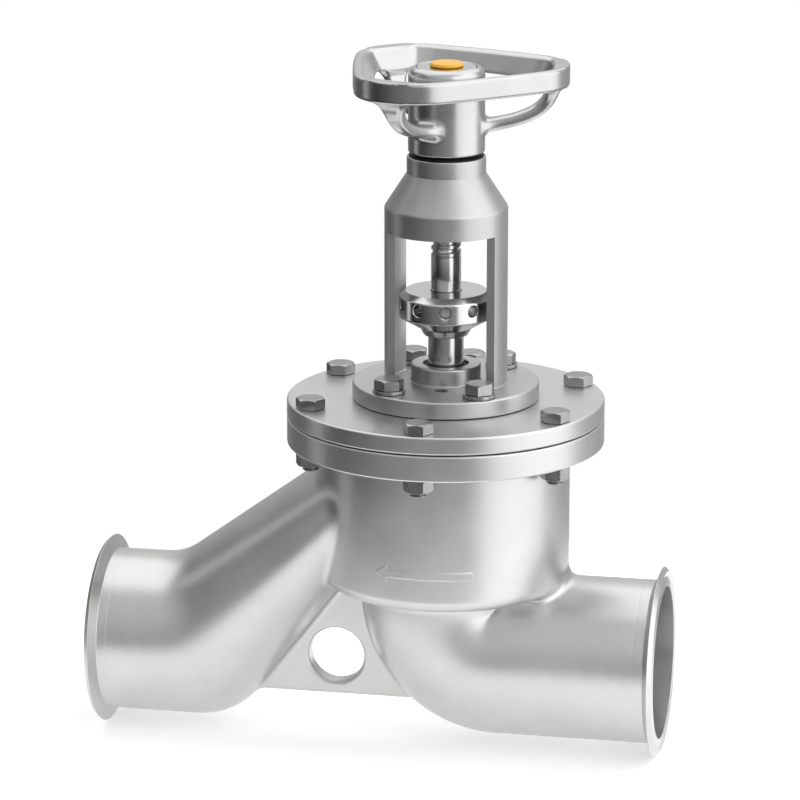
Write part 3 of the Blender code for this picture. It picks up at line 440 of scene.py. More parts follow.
def flange_and_cover():
    """The body flange and the bonnet cover with their bolt holes."""
    bolts = centres_of("cover_bolt", 6)
    plate_bolts = centres_of("yoke_bolt", 4)
    for node in ("body_flange", "bonnet_cover"):
        item = turned(node)
        low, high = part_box(node)
        for centre in bolts:
            cut(item, rod(BOLT_HOLE, low.z - PAST, high.z + PAST, centre))
        if node == "bonnet_cover":
            for centre in plate_bolts:
                cut(item, rod(BOLT_HOLE, high.z - PLATE_BOLT_DEPTH, high.z + PAST, centre))
            reach, angle, radius = TELL_TALE
            cut(item, rod(radius, low.z - PAST, high.z + PAST, polar(reach, angle).to_2d()))
        shade(item)
        place(item, node)


def window_cutter(side):
    """What is open on one side of the yoke, round the boss."""
    far = WINDOW_REACH
    outline = [(-far, WINDOW_LOW), (far, WINDOW_LOW), (far, WINDOW_HIGH), (-far, WINDOW_HIGH)]
    rings = [[(x, side * y, z) for x, z in outline] for y in (WINDOW_HALF, far)]
    item = loft("window", rings, False)
    cut(item, rod(BOSS_CLEAR, WINDOW_LOW - PAST, WINDOW_LOW + BOSS_RISE, segments=SEGMENTS))
    return item


def yoke_piece():
    """The yoke: a turned casting with two windows, its bolt holes and the tell-tale hole."""
    item = turned("yoke")
    for side in (-1.0, 1.0):
        cut(item, window_cutter(side))
    for centre in centres_of("yoke_bolt", 4):
        cut(item, rod(BOLT_HOLE, WINDOW_LOW - PLATE_THROUGH, WINDOW_LOW + PAST, centre))
    reach, angle, radius = TELL_TALE
    middle = polar(reach, angle).to_2d()
    cut(item, rod(radius, WINDOW_LOW - PLATE_THROUGH, WINDOW_LOW + PAST, middle))
    bevel = item.modifiers.new("edges", "BEVEL")
    bevel.width = YOKE_EDGE
    bevel.segments = 2
    bevel.limit_method = "ANGLE"
    bevel.angle_limit = SHARP_ANGLE
    settle(item)
    shade(item)
    place(item, "yoke")


def collar_piece():
    """The collar between spindle and stem, with flared tommy bar holes round it."""
    item = turned("collar")
    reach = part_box("collar")[1].x
    for index in range(COLLAR_HOLES):
        angle = COLLAR_HOLE_START + 2 * math.pi * index / COLLAR_HOLES
        flare = COLLAR_HOLE + COLLAR_HOLE_FLARE
        levels = [
            (COLLAR_HOLE, COLLAR_HOLE_END), (COLLAR_HOLE, reach - COLLAR_HOLE_FLARE),
            (flare, reach), (flare, reach + PAST)]
        tool = loft("hole", [circle(radius, height, 40) for radius, height in levels], False)
        turn = Matrix.Rotation(angle, 4, "Z") @ Matrix.Rotation(math.pi / 2, 4, "Y")
        tool.data.transform(Matrix.Translation((0.0, 0.0, COLLAR_HOLE_HEIGHT)) @ turn)
        cut(item, tool)
    shade(item)
    place(item, "collar")


# --- shapes from distance fields -----------------------------------------------------


def blend_union(a, b, width):
    """The nearer of two fields, with a round fillet where they meet."""
    share = np.maximum(width - np.abs(a - b), 0.0) / width
    return np.minimum(a, b) - share * share * width / 4


def blend_cut(a, b, width):
    """The farther of two fields, with a round edge where they meet."""
    return -blend_union(-a, -b, width)


# How often points move towards the surface, and how far a slope is felt for, in grid steps
SURFACE_MOVES = 4
MOVE_REACH = 0.05
NORMAL_REACH = 1 / 6
CORNERS = np.array([(i, j, k) for i in (0, 1) for j in (0, 1) for k in (0, 1)])
CELL_EDGES = [
    (a, b) for a in range(8) for b in range(a + 1, 8) if np.abs(CORNERS[a] - CORNERS[b]).sum() == 1]


def cell_points(values, cells):
    """Where a field's zero surface passes through some grid cells, in grid steps."""
    reach = cells[:, None, :] + CORNERS[None, :, :]
    at_corners = values[reach[..., 0], reach[..., 1], reach[..., 2]]
    total = np.zeros((len(cells), 3))
    count = np.zeros(len(cells))
    for a, b in CELL_EDGES:
        first = at_corners[:, a]
        second = at_corners[:, b]
        crossed = (first < 0) != (second < 0)
        span = np.where(crossed, first - second, 1.0)
        share = first / span
        total += np.where(crossed, 1.0, 0.0)[:, None] * (
            CORNERS[a] + share[:, None] * (CORNERS[b] - CORNERS[a]))
        count += crossed
    return cells + total / count[:, None]


def polygonise(field, low, high, step):
    """A field's zero surface as points and quads, by surface nets."""
    axes = [np.arange(a, b + step, step) for a, b in zip(low, high)]
    values = field(*np.meshgrid(*axes, indexing="ij"))
    inside = values < 0
    nx, ny, nz = inside.shape
    total = np.zeros((nx - 1, ny - 1, nz - 1), np.int8)
    for i, j, k in CORNERS:
        total += inside[i:nx - 1 + i, j:ny - 1 + j, k:nz - 1 + k]
    active = (total > 0) & (total < 8)
    cells = np.argwhere(active)
    number = np.full(active.shape, -1)
    number[active] = np.arange(len(cells))
    points = np.array(low) + cell_points(values, cells) * step
    quads = []
    for axis in range(3):
        along = np.moveaxis(inside, axis, 0)
        near = np.moveaxis(number, axis, 0)
        crossing = along[:-1] != along[1:]
        i, j, k = (np.argwhere(crossing[:, 1:-1, 1:-1]) + (0, 1, 1)).T
        faces = np.stack(
            [near[i, j - 1, k - 1], near[i, j, k - 1], near[i, j, k], near[i, j - 1, k]], 1)
        backward = along[i, j, k] == (axis == 1)
        faces[backward] = faces[backward][:, ::-1]
        quads.append(faces)
    return points, np.concatenate(quads)


def slope_of(field, points, reach):
    """A field's gradient at some points."""
    slopes = []
    for axis in range(3):
        ahead = points.copy()
        behind = points.copy()
        ahead[:, axis] += reach
        behind[:, axis] -= reach
        slopes.append((field(*ahead.T) - field(*behind.T)) / (2 * reach))
    return np.stack(slopes, 1)


def drawn_to(field, points, step):
    """The points moved onto a field's zero surface."""
    for _ in range(SURFACE_MOVES):
        slope = slope_of(field, points, step * MOVE_REACH)
        size = np.maximum((slope ** 2).sum(1), 1e-3)
        move = (field(*points.T) / size)[:, None] * slope
        length = np.linalg.norm(move, axis=1)[:, None]
        points = points - move * np.minimum(1.0, step / 2 / np.maximum(length, 1e-9))
    return points


def piece_from(name, field, low, high, step, keep=1.0):
    """A piece whose surface is where a field is zero, thinned to a share of its faces."""
    points, quads = polygonise(field, low, high, step)
    points = drawn_to(field, points, step)
    mesh = bpy.data.meshes.new(name)
    mesh.from_pydata((points * MM).tolist(), [], quads.tolist())
    item = new_object(name, mesh)
    if keep < 1.0:
        thin = item.modifiers.new("thin", "DECIMATE")
        thin.ratio = keep
        settle(item)
    mesh = item.data
    flat = np.zeros(len(mesh.vertices) * 3)
    mesh.vertices.foreach_get("co", flat)
    points = drawn_to(field, flat.reshape(-1, 3) / MM, step)
    mesh.vertices.foreach_set("co", (points * MM).ravel())
    slope = slope_of(field, points, step * NORMAL_REACH)
    normals = slope / np.linalg.norm(slope, axis=1)[:, None]
    mesh.shade_smooth()
    mesh.update()
    mesh.normals_split_custom_set_from_vertices(normals.tolist())
    return item


def elbow_field(x, y, z, radius):
    """Distance from the inlet pipe, which comes along X and turns up tightly."""
    level = np.hypot(y, z)
    upright = np.hypot(x, y)
    ring = np.hypot(np.hypot(x - ELBOW_BEND, z - ELBOW_BEND) - ELBOW_BEND, y)
    either = np.where(z < ELBOW_BEND, level, np.minimum(level, upright))
    straight = np.where(x < ELBOW_BEND, upright, either)
    in_bend = (x < ELBOW_BEND) & (z < ELBOW_BEND)
    return np.where(in_bend, ring, straight) - radius


def branch_field(x, y, z, grow):
    """Distance from the outlet branch, oval between a line that rises early and one that rises late."""
    radius = PIPE + grow
    top_x, top_slope, top_round = BRANCH_TOP
    low_x, low_slope, low_round = BRANCH_LOW
    rise = math.radians(top_slope)
    above = blend_union(
        z - PIPE, (z - PIPE) * math.cos(rise) - (x - top_x) * math.sin(rise), top_round) - grow
    rise = math.radians(low_slope)
    below = blend_cut(
        -PIPE - z, (x - low_x) * math.sin(rise) - (z + PIPE) * math.cos(rise), low_round) - grow
    width = np.maximum(-(above + below), radius / 2)
    up = (above - below) / width
    side = y / radius
    reach = np.hypot(up, side)
    steep = np.hypot(2 * up / width, side / radius)
    return (reach - 1) * reach / np.maximum(steep, 1e-6)


def chamber_field(x, y, z, radius, low, edge, high):
    """Distance from an upright drum with a rounded lower edge."""
    out = np.hypot(x, y) - radius + edge
    down = low + edge - z
    drum = np.hypot(np.maximum(out, 0.0), np.maximum(down, 0.0))
    drum = drum + np.minimum(np.maximum(out, down), 0.0) - edge
    return np.maximum(drum, z - high)


def gusset_field(x, y, z):
    """Distance from the plate with a hole that ties branch and elbow together."""
    plate = np.abs(y) - GUSSET_HALF
    for index, (x1, z1) in enumerate(GUSSET):
        x2, z2 = GUSSET[(index + 1) % len(GUSSET)]
        length = math.hypot(x2 - x1, z2 - z1)
        beyond = ((x - x1) * (z2 - z1) - (z - z1) * (x2 - x1)) / length
        plate = blend_cut(plate, beyond, GUSSET_EDGE)
    hole_x, hole_z, hole = GUSSET_HOLE
    return blend_cut(plate, hole - np.hypot(x - hole_x, z - hole_z), GUSSET_EDGE)


def body_field(x, y, z):
    """The chamber, the elbow, the branch and the gusset as one hollow weldment.

    Both pipe ends thin a little on their last stretch, which lies inside the ferrules' necks.
    """
    past = np.maximum(x - INLET_END, OUTLET_END - x)
    tuck = END_TUCK * np.clip(past / END_TUCK_REACH + 1.0, 0.0, 1.0)
    beyond = 2 * CHAMBER_TOP
    chamber = chamber_field(x, y, z, CHAMBER, CHAMBER_LOW, CHAMBER_EDGE, beyond)
    elbow = np.maximum(elbow_field(x, y, z, PIPE), z - CHAMBER_LOW - CHAMBER_EDGE)
    branch = np.maximum(branch_field(x, y, z, 0.0), x - BRANCH_STOP)
    outside = blend_union(chamber, elbow, ELBOW_FILLET)
    outside = blend_union(outside, branch, BRANCH_FILLET)
    outside = blend_union(outside, gusset_field(x, y, z), GUSSET_FILLET)
    outside = np.maximum(np.maximum(outside + tuck, z - CHAMBER_TOP), past)
    floor = CHAMBER_LOW + CHAMBER_FLOOR
    room = chamber_field(x, y, z, CHAMBER - WALL, floor, CHAMBER_EDGE - WALL, beyond)
    bore = np.maximum(elbow_field(x, y, z, PIPE - WALL), z - floor - CHAMBER_EDGE)
    outlet = np.maximum(branch_field(x, y, z, -WALL), x - BRANCH_STOP)
    hollow = np.minimum(np.minimum(room, bore), outlet)
    return np.maximum(outside, tuck - hollow)


def welded_body():
    """The one-piece body below the flange."""
    low = (OUTLET_END - 4.0, -CHAMBER - 4.0, -PIPE - 4.0)
    high = (INLET_END + 4.0, CHAMBER + 4.0, CHAMBER_TOP + 4.0)
    item = piece_from("welded_body", body_field, low, high, BODY_STEP, BODY_KEEP)
    place(item, "chamber_shell", "inlet_elbow", "outlet_branch", "gusset_plate")


def rim_distance(along, side):
    """Level distance from the rim's rounded triangle, beside one corner; negative inside."""
    corner = RIM_REACH - RIM_CORNER
    rise = RIM_MIDDLE - RIM_CORNER
    back = (corner ** 2 - rise ** 2) / (2 * rise - corner)
    half = math.atan2(corner * math.sin(math.pi / 3), corner / 2 + back)
    facing = np.arctan2(side, along - corner)
    round_corner = np.hypot(along - corner, side) - RIM_CORNER
    to_x = along + back * math.cos(math.pi / 3)
    to_y = side + back * math.sin(math.pi / 3)
    round_side = np.hypot(to_x, to_y) - back - RIM_MIDDLE
    return np.where(facing < math.pi / 3 - half, round_corner, round_side)


def smooth_path(points, steps):
    """More points on a smooth curve through some points."""
    path = []
    for index in range(len(points) - 1):
        knots = [points[max(index - 1, 0)], points[index], points[index + 1],
                 points[min(index + 2, len(points) - 1)]]
        for step in range(steps):
            t = step / steps
            weights = (
                (-t + 2 * t * t - t ** 3) / 2, (2 - 5 * t * t + 3 * t ** 3) / 2,
                (t + 4 * t * t - 3 * t ** 3) / 2, (t ** 3 - t * t) / 2)
            path.append(tuple(sum(w * knot[axis] for w, knot in zip(weights, knots)) for axis in (0, 1)))
    path.append(points[-1])
    return path


def spoke_field(along, side, z):
    """Distance from a spoke swept on its path, wider where it meets the rim."""
    nearest = np.full(along.shape, 1e3)
    path = smooth_path(SPOKE_PATH, SPOKE_CURVE_STEPS)
    for (r1, z1), (r2, z2) in zip(path, path[1:]):
        dr = r2 - r1
        dz = z2 - z1
        share = np.clip(((along - r1) * dr + (z - z1) * dz) / (dr * dr + dz * dz), 0.0, 1.0)
        away = np.hypot(along - r1 - share * dr, z - z1 - share * dz)
        nearest = np.minimum(nearest, away)
    share = np.clip((z - SPOKE_FLARE_LOW) / (SPOKE_FLARE_HIGH - SPOKE_FLARE_LOW), 0.0, 1.0)
    half = SPOKE_HALF_WIDTH + SPOKE_FLARE * share * share
    root_near, root_far = SPOKE_ROOT
    share = np.clip((root_far - along) / (root_far - root_near), 0.0, 1.0)
    half = half + SPOKE_ROOT_FLARE * share * share
    thick = nearest - SPOKE_HALF_THICK + SPOKE_ROUND
    wide = side - half + SPOKE_ROUND
    edge = np.hypot(np.maximum(thick, 0.0), np.maximum(wide, 0.0))
    return edge + np.minimum(np.maximum(thick, wide), 0.0) - SPOKE_ROUND


def wheel_field(x, y, z):
    """Rim, spokes and hub, cast in one."""
    angle = np.arctan2(y, x) - WHEEL_ANGLE
    third = 2 * math.pi / 3
    folded = np.abs((angle + third / 2) % third - third / 2)
    radius = np.hypot(x, y)
    along = radius * np.cos(folded)
    side = radius * np.sin(folded)
    out = rim_distance(along, side)
    inset = -out
    drop = RIM_HIGH - RIM_LOW
    lean = RIM_LOW_WIDTH - RIM_TOP_WIDTH
    inner = ((inset - RIM_TOP_WIDTH) * drop + (z - RIM_HIGH) * lean) / math.hypot(drop, lean)
    rim = blend_cut(blend_cut(out, z - RIM_HIGH, RIM_ROUND), RIM_LOW - z, RIM_ROUND)
    rim = blend_cut(rim, inner, RIM_ROUND)
    cone_radius, cone_low = HUB_CONE
    run = HUB_RADIUS - cone_radius
    climb = HUB_HIGH - cone_low
    cone = ((radius - HUB_RADIUS) * climb + (z - cone_low) * run) / math.hypot(run, climb)
    hub = blend_cut(blend_cut(radius - HUB_RADIUS, cone, HUB_ROUND), z - HUB_HIGH, HUB_ROUND)
    hub = blend_cut(hub, HUB_LOW - z, HUB_FOOT_ROUND)
    wheel = blend_union(spoke_field(along, side, z), hub, HUB_FILLET)
    wheel = blend_union(wheel, rim, RIM_FILLET)
    wheel = np.maximum(np.maximum(wheel, z - RIM_HIGH), out)
    nut_radius, nut_low = NUT_POCKET
    lid_radius, lid_low = LID_POCKET
    hollow = np.minimum(radius - HUB_BORE, np.maximum(radius - nut_radius, nut_low - z))
    hollow = np.minimum(hollow, np.maximum(radius - lid_radius, lid_low - z))
    keyway = np.maximum(np.abs(y) - KEYWAY_HALF, x - KEYWAY_REACH)
    keyway = np.maximum(keyway, np.maximum(-x, z - KEYWAY_HIGH))
    return blend_cut(wheel, -np.minimum(hollow, keyway), POCKET_ROUND)


def handwheel_piece():
    """The cast handwheel."""
    reach = RIM_REACH + 4.0
    low = (-reach, -reach, HUB_LOW - 4.0)
    high = (reach, reach, RIM_HIGH + 4.0)
    item = piece_from("handwheel_looks", wheel_field, low, high, WHEEL_STEP)
    place(item, "handwheel")


# --- fasteners and threads -----------------------------------------------------------


def hexagon(flat, angle):
    """How far a hexagon reaches at an angle, when its sides are flat from the centre."""
    return flat / math.cos((angle + math.pi / 6) % (math.pi / 3) - math.pi / 6)


def hexagon_rings(flat, low, high, both):
    """Rings up a hexagon's outside with its corners chamfered above, and below too if asked."""
    angles = [2 * math.pi * index / HEX_STEPS for index in range(HEX_STEPS)]
    rest = HEX_REST * flat
    slope = math.tan(HEX_CHAMFER)
    reaches = [hexagon(flat, a) for a in angles]
    lower = [low + (reach - rest) * slope if both else low for reach in reaches]
    upper = [high - (reach - rest) * slope for reach in reaches]
    rings = [circle(rest, low, HEX_STEPS)]
    for heights in (lower, upper):
        rings.append([(r * math.cos(a), r * math.sin(a), h) for r, a, h in zip(reaches, angles, heights)])
    rings.append(circle(rest, high, HEX_STEPS))
    return rings


def threaded(low, high, radius, pitch, depth):
    """Rings up a threaded end, cut as a row of V grooves."""
    rings = []
    count = int((high - low) / pitch)
    for index in range(count):
        base = low + index * pitch
        rings.append(circle(radius - depth, base, HEX_STEPS))
        rings.append(circle(radius, base + 0.4 * pitch, HEX_STEPS))
        rings.append(circle(radius, base + 0.6 * pitch, HEX_STEPS))
    return rings


def bolts(prefix, count):
    """Hexagon bolts: chamfered head, shank and threaded end."""
    for index in range(count):
        node = f"{prefix}_{index + 1}"
        low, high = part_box(node)
        seat = high.z - BOLT_HEAD
        rings = threaded(low.z, low.z + THREAD_LENGTH, BOLT_RADIUS, BOLT_PITCH, THREAD_DEPTH)
        rings.append(circle(BOLT_RADIUS, seat, HEX_STEPS))
        rings += hexagon_rings(BOLT_FLAT, seat, high.z, False)
        item = loft(node + "_looks", rings, False)
        stand(item, node, low, high)


def stand(item, node, low, high):
    """Turn a fastener towards the stem axis, put it in its place and finish it."""
    middle = (low + high) / 2
    turn = Matrix.Rotation(math.atan2(middle.y, middle.x), 4, "Z")
    item.data.transform(Matrix.Translation((middle.x, middle.y, 0.0)) @ turn)
    item.data.shade_smooth()
    item.data.set_sharp_from_angle(angle=HEX_SHARP)
    place(item, node)


def nuts(nodes, flat, bore):
    """Hexagon nuts, chamfered on both sides."""
    for node in nodes:
        low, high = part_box(node)
        rings = [circle(bore, low.z, HEX_STEPS)]
        rings += hexagon_rings(flat, low.z, high.z, True)
        rings.append(circle(bore, high.z, HEX_STEPS))
        item = loft(node + "_looks", rings, True)
        stand(item, node, low, high)


def spindle_piece():
    """The spindle: plain below, with a round-bottomed thread above."""
    low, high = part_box("spindle")
    radius = high.x
    gain, cut_off = SPINDLE_GROOVE
    rows = int((high.z - SPINDLE_THREAD_LOW) / SPINDLE_PITCH * SPINDLE_ROWS_PER_TURN)
    edge = SPINDLE_EDGE
    rings = [circle(radius - edge, low.z, SPINDLE_SEGMENTS), circle(radius, low.z + edge, SPINDLE_SEGMENTS)]
    for row in range(rows + 1):
        height = SPINDLE_THREAD_LOW + (high.z - SPINDLE_THREAD_LOW) * row / rows
        ease = min(1.0, row / SPINDLE_ROWS_PER_TURN)
        ring = []
        for index in range(SPINDLE_SEGMENTS):
            turn = index / SPINDLE_SEGMENTS
            phase = (height / SPINDLE_PITCH - turn) % 1.0
            groove = min(1.0, max(0.0, gain * math.sin(math.pi * phase) ** 2 - cut_off))
            reach = radius - SPINDLE_DEPTH * ease * groove
            angle = 2 * math.pi * turn
            ring.append((reach * math.cos(angle), reach * math.sin(angle), height))
        rings.append(ring)
    item = loft("spindle_looks", rings, False)
    item.data.shade_smooth()
    item.data.set_sharp_from_angle(angle=SHARP_ANGLE)
    place(item, "spindle")


# --- diaphragm and arrow -------------------------------------------------------------


def diaphragm_piece():
    """The moulded rubber diaphragm between the cover and the stem."""
    item = turned("diaphragm")
    shade(item)
    dress(item, "diaphragm")
    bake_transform(item)


def arrow_piece():
    """A plain raised flow arrow on the chamber's front, which points to the outlet."""
    half = ARROW_HALF_LENGTH
    line = ARROW_LINE
    head_length, head_half = ARROW_HEAD
    outline = [
        (-half, 0.0), (-half + head_length, head_half), (-half + head_length, line),
        (half, line), (half, -line), (-half + head_length, -line), (-half + head_length, -head_half)]
    fine = []
    for index, (u1, v1) in enumerate(outline):
        u2, v2 = outline[(index + 1) % len(outline)]
        steps = max(1, int(math.hypot(u2 - u1, v2 - v1) / ARROW_STEP))
        fine += [(u1 + (u2 - u1) * s / steps, v1 + (v2 - v1) * s / steps) for s in range(steps)]
    shape = bmesh.new()
    base = shape.faces.new([shape.verts.new((u, 0.0, v)) for u, v in fine])
    extruded = bmesh.ops.extrude_face_region(shape, geom=[base])
    top = [face for face in extruded["geom"] if isinstance(face, bmesh.types.BMFace)]
    for vert in top[0].verts:
        vert.co.y = ARROW_FOOT + ARROW_SINK
    bmesh.ops.inset_region(shape, faces=top, thickness=ARROW_SLOPE, depth=0.0, use_even_offset=True)
    for vert in top[0].verts:
        vert.co.y = ARROW_RELIEF + ARROW_SINK
    bmesh.ops.triangulate(shape, faces=shape.faces)
    for vert in shape.verts:
        radius = CHAMBER - ARROW_SINK + vert.co.y
        angle = -math.pi / 2 + (ARROW_CENTRE[0] + vert.co.x) / CHAMBER
        height = ARROW_CENTRE[1] + vert.co.z
        vert.co = Vector((radius * math.cos(angle), radius * math.sin(angle), height)) * MM
    bmesh.ops.recalc_face_normals(shape, faces=shape.faces)
    mesh = bpy.data.meshes.new("flow_arrow")
    shape.to_mesh(mesh)
    shape.free()
    item = new_object("flow_arrow", mesh)
    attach(item, "body")
    item.data.materials.append(FINISHES["satin_steel"])


# --- finishes ------------------------------------------------------------------------


NOISE_RANGE = (0.3, 0.7)
CLOUD_SCALE = 38.0
TOOL_MARK_SHARE = 0.7


def add(tree, kind, **values):
    """A node with some of its inputs or settings filled in."""
    node = tree.nodes.new(kind)
    for name, value in values.items():
        if name in node.inputs:
            node.inputs[name].default_value = value
        else:
            setattr(node, name, value)
    return node


def spread(tree, source, low, high):
    """A noise's usual range spread between two values."""
    node = add(tree, "ShaderNodeMapRange")
    node.inputs["From Min"].default_value = NOISE_RANGE[0]
    node.inputs["From Max"].default_value = NOISE_RANGE[1]
    node.inputs["To Min"].default_value = low
    node.inputs["To Max"].default_value = high
    tree.links.new(source, node.inputs["Value"])
    return node.outputs["Result"]


def metal(name, dark, light, smooth, rough, grain, bump, rings=0.0):
    """A metal with uneven tone and gloss, fine grain and, if asked, circular tool marks."""
    material = bpy.data.materials.new(name)
    material.use_nodes = True
    tree = material.node_tree
    shader = tree.nodes["Principled BSDF"]
    shader.inputs["Metallic"].default_value = 1.0
    place_of = add(tree, "ShaderNodeTexCoord").outputs["Object"]
    clouds = add(tree, "ShaderNodeTexNoise", Scale=CLOUD_SCALE, Detail=5.0, Roughness=0.6)
    fine = add(tree, "ShaderNodeTexNoise", Scale=grain, Detail=3.0, Roughness=0.6)
    for texture in (clouds, fine):
        tree.links.new(place_of, texture.inputs["Vector"])
    tone = add(tree, "ShaderNodeMix", data_type="RGBA")
    tone.inputs["A"].default_value = (*dark, 1.0)
    tone.inputs["B"].default_value = (*light, 1.0)
    tree.links.new(spread(tree, clouds.outputs["Fac"], 0.0, 1.0), tone.inputs["Factor"])
    tree.links.new(tone.outputs["Result"], shader.inputs["Base Color"])
    gloss = add(tree, "ShaderNodeMath", operation="ADD")
    tree.links.new(spread(tree, clouds.outputs["Fac"], smooth, rough), gloss.inputs[0])
    tree.links.new(spread(tree, fine.outputs["Fac"], -0.02, 0.02), gloss.inputs[1])
    tree.links.new(gloss.outputs["Value"], shader.inputs["Roughness"])
    relief = add(tree, "ShaderNodeBump", Strength=bump, Distance=0.0001)
    height = fine.outputs["Fac"]
    if rings:
        wave = add(
            tree, "ShaderNodeTexWave", wave_type="RINGS", rings_direction="Z", Scale=rings,
            Distortion=1.5)
        tree.links.new(place_of, wave.inputs["Vector"])
        marks = add(tree, "ShaderNodeMath", operation="MULTIPLY_ADD")
        marks.inputs[1].default_value = TOOL_MARK_SHARE
        tree.links.new(wave.outputs["Fac"], marks.inputs[0])
        tree.links.new(fine.outputs["Fac"], marks.inputs[2])
        height = marks.outputs["Value"]
    tree.links.new(height, relief.inputs["Height"])
    tree.links.new(relief.outputs["Normal"], shader.inputs["Normal"])
    return material


def moulded(name, dark, light, smooth, rough, bump):
    """Rubber or plastic with a fine mould grain."""
    material = metal(name, dark, light, smooth, rough, 900.0, bump)
    material.node_tree.nodes["Principled BSDF"].inputs["Metallic"].default_value = 0.0
    return material


def grey(value, warm=0.0):
    """A grey, a little warm if asked."""
    return (value * (1 + warm), value, value * (1 - warm))


FINISHES = {
    "satin_steel": metal("satin_steel", grey(0.59, 0.012), grey(0.64, 0.008), 0.33, 0.38, 1400.0, 0.25),
    "blasted_steel": metal("blasted_steel", grey(0.5, 0.008), grey(0.54, 0.006), 0.38, 0.42, 1600.0, 0.15),
    "turned_steel": metal(
        "turned_steel", grey(0.62, 0.008), grey(0.66, 0.006), 0.33, 0.37, 1200.0, 0.07, rings=300.0),
    "cast_steel": metal("cast_steel", grey(0.5, -0.006), grey(0.56, -0.004), 0.27, 0.33, 500.0, 0.04),
    "polished_steel": metal(
        "polished_steel", grey(0.60, 0.01), grey(0.68, 0.008), 0.16, 0.23, 700.0, 0.06),
    "bolt_steel": metal("bolt_steel", grey(0.32, 0.01), grey(0.42, 0.01), 0.22, 0.3, 900.0, 0.1),
    "bronze": metal("bronze", (0.42, 0.27, 0.13), (0.55, 0.38, 0.2), 0.25, 0.36, 900.0, 0.15),
    "black_rubber": moulded("black_rubber", (0.012, 0.012, 0.013), (0.03, 0.03, 0.032), 0.5, 0.62, 0.3),
    "seal_white": moulded("seal_white", (0.72, 0.72, 0.69), (0.82, 0.82, 0.79), 0.35, 0.45, 0.1),
    "yellow_plastic": moulded(
        "yellow_plastic", (0.86, 0.42, 0.025), (0.93, 0.5, 0.04), 0.3, 0.38, 0.1),
}
LOOKS = {
    "body_flange": "turned_steel", "bonnet_cover": "turned_steel", "yoke": "blasted_steel",
    "inlet_ferrule": "satin_steel", "outlet_ferrule": "satin_steel", "handwheel": "cast_steel"}


def finish_kept_nodes():
    """Give the CAD nodes that still show their procedural finish."""
    for node, item in frame["nodes"].items():
        if item.hide_render:
            continue
        for slot in item.material_slots:
            slot.material = FINISHES[SLOT_OF[node]]


# --- stage ---------------------------------------------------------------------------


# Camera, in degrees, metres and millimetres of lens
VIEW_TURN = math.radians(11.47)
VIEW_RISE = math.radians(14.99)
VIEW_AWAY = 2.56112
VIEW_ASIDE = -0.02821
VIEW_HEIGHT = 0.16096
LENS = 186.8
FLOOR_Z = -59.6 * MM
FLOOR_RADIUS = 0.44
FLOOR_GLOW = 0.38
# Soft lights: name, (turn, rise) beside the view, how far away, size and brightness
LIGHT_TARGET = Vector((0.0, 0.0, 0.15))
SOFT_LIGHTS = [
    ("right", (65.0, 18.0), 1.7, (2.9, 2.8), 1.25),
    ("over", (180.0, 68.0), 1.7, (3.0, 2.2), 1.15),
    ("left", (-104.0, 8.0), 1.9, (0.35, 2.0), 0.9)]
# Around the valve, as (turn, rise) beside the view: brightness by the cosine of how far off
STUDIO_LOBES = [
    ((180.0, 20.0), [(-1.0, 0.09), (0.2, 0.09), (0.6, 0.2), (0.8, 0.36), (0.95, 0.62), (1.0, 0.82)]),
    ((90.0, 0.0), [(-1.0, 0.0), (0.0, 0.02), (0.5, 0.18), (0.85, 0.4), (1.0, 0.55)]),
    ((-12.0, 46.0), [(-1.0, 0.0), (0.2, 0.0), (0.55, 0.18), (0.8, 0.5), (1.0, 0.72)]),
]


def camera():
    """A long lens in front, a little to the right and above."""
    back = Vector((
        math.sin(VIEW_TURN) * math.cos(VIEW_RISE), -math.cos(VIEW_TURN) * math.cos(VIEW_RISE),
        math.sin(VIEW_RISE)))
    right = Vector((math.cos(VIEW_TURN), math.sin(VIEW_TURN), 0.0))
    up = back.cross(right)
    target = right * VIEW_ASIDE + Vector((0.0, 0.0, VIEW_HEIGHT))
    data = bpy.data.cameras.new("camera")
    data.sensor_width = 36.0
    data.lens = LENS
    data.clip_start = 0.1
    data.clip_end = 60.0
    item = bpy.data.objects.new("camera", data)
    bpy.context.scene.collection.objects.link(item)
    turn = Matrix((right, up, back)).transposed().to_4x4()
    item.matrix_world = Matrix.Translation(target + back * VIEW_AWAY) @ turn
    bpy.context.scene.camera = item


def floor():
    """A plain pale floor, a disc that ends before it would show in the upright faces."""
    mesh = bpy.data.meshes.new("floor")
    mesh.from_pydata(circle(FLOOR_RADIUS, FLOOR_Z), [], [tuple(range(SEGMENTS))])
    item = new_object("floor", mesh)
    material = bpy.data.materials.new("floor")
    material.use_nodes = True
    shader = material.node_tree.nodes["Principled BSDF"]
    shader.inputs["Base Color"].default_value = (0.93, 0.93, 0.93, 1.0)
    shader.inputs["Roughness"].default_value = 0.9
    shader.inputs["Specular IOR Level"].default_value = 0.1
    shader.inputs["Emission Color"].default_value = (1.0, 1.0, 1.0, 1.0)
    shader.inputs["Emission Strength"].default_value = FLOOR_GLOW
    mesh.materials.append(material)


def beside_view(turn, rise):
    """A direction turned to the right of the camera's and raised above level, in degrees."""
    a = VIEW_TURN + math.radians(turn)
    e = math.radians(rise)
    return Vector((math.sin(a) * math.cos(e), -math.cos(a) * math.cos(e), math.sin(e)))


def soft_light(name, beside, away, size, brightness):
    """A soft light that faces the valve from a direction beside the view."""
    data = bpy.data.lights.new(name, "AREA")
    data.shape = "RECTANGLE"
    data.size, data.size_y = size
    data.energy = brightness * math.pi * size[0] * size[1]
    item = bpy.data.objects.new(name, data)
    bpy.context.scene.collection.objects.link(item)
    towards = beside_view(*beside)
    item.location = LIGHT_TARGET + towards * away
    item.rotation_mode = "QUATERNION"
    item.rotation_quaternion = towards.to_track_quat("Z", "Y")


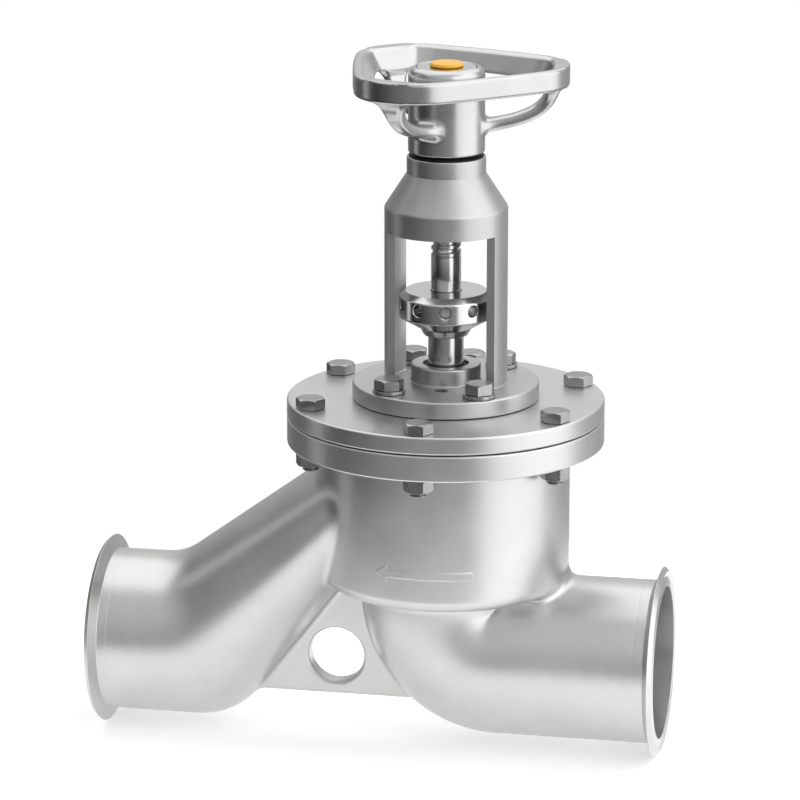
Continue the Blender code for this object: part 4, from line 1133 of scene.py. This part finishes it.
def lobe(tree, direction, towards, stops):
    """Brightness by how far a direction is from another: (cosine, brightness) stops."""
    facing = add(tree, "ShaderNodeVectorMath", operation="DOT_PRODUCT")
    facing.inputs[1].default_value = towards
    tree.links.new(direction, facing.inputs[0])
    curve = add(tree, "ShaderNodeFloatCurve")
    points = curve.mapping.curves[0].points
    while len(points) < len(stops):
        points.new(0.5, 0.5)
    for point, (cosine, brightness) in zip(points, stops):
        point.location = ((cosine + 1) / 2, brightness)
    curve.mapping.update()
    share = add(tree, "ShaderNodeMath", operation="MULTIPLY_ADD")
    share.inputs[1].default_value = 0.5
    share.inputs[2].default_value = 0.5
    tree.links.new(facing.outputs["Value"], share.inputs[0])
    tree.links.new(share.outputs["Value"], curve.inputs["Value"])
    return curve.outputs["Value"]


def surroundings():
    """A studio that looks white to the camera, and is graded by direction for the valve."""
    world = bpy.data.worlds.new("studio")
    world.use_nodes = True
    bpy.context.scene.world = world
    tree = world.node_tree
    direction = add(tree, "ShaderNodeTexCoord").outputs["Generated"]
    total = None
    for towards, stops in STUDIO_LOBES:
        part = lobe(tree, direction, beside_view(*towards), stops)
        if total is None:
            total = part
            continue
        both = add(tree, "ShaderNodeMath", operation="ADD")
        tree.links.new(total, both.inputs[0])
        tree.links.new(part, both.inputs[1])
        total = both.outputs["Value"]
    white = add(tree, "ShaderNodeBackground")
    white.inputs["Color"].default_value = (1.0, 1.0, 1.0, 1.0)
    graded = tree.nodes["Background"]
    graded.inputs["Color"].default_value = (1.0, 1.0, 1.0, 1.0)
    tree.links.new(total, graded.inputs["Strength"])
    seen = add(tree, "ShaderNodeLightPath").outputs["Is Camera Ray"]
    mix = add(tree, "ShaderNodeMixShader")
    tree.links.new(seen, mix.inputs[0])
    tree.links.new(graded.outputs["Background"], mix.inputs[1])
    tree.links.new(white.outputs["Background"], mix.inputs[2])
    tree.links.new(mix.outputs["Shader"], tree.nodes["World Output"].inputs["Surface"])


def stage():
    """Camera, floor, lights and surroundings."""
    camera()
    floor()
    surroundings()
    for light in SOFT_LIGHTS:
        soft_light(*light)
    bpy.context.scene.view_settings.view_transform = "Standard"


def build():
    """Make every piece."""
    plain_turned_pieces()
    flange_and_cover()
    yoke_piece()
    collar_piece()
    spindle_piece()
    bolts("cover_bolt", 6)
    bolts("yoke_bolt", 4)
    nuts([f"cover_nut_{index + 1}" for index in range(6)], BOLT_FLAT, NUT_BORE)
    nuts(["wheel_nut"], WHEEL_NUT_FLAT, WHEEL_NUT_BORE)
    diaphragm_piece()
    welded_body()
    handwheel_piece()
    arrow_piece()
    finish_kept_nodes()


build()
stage()
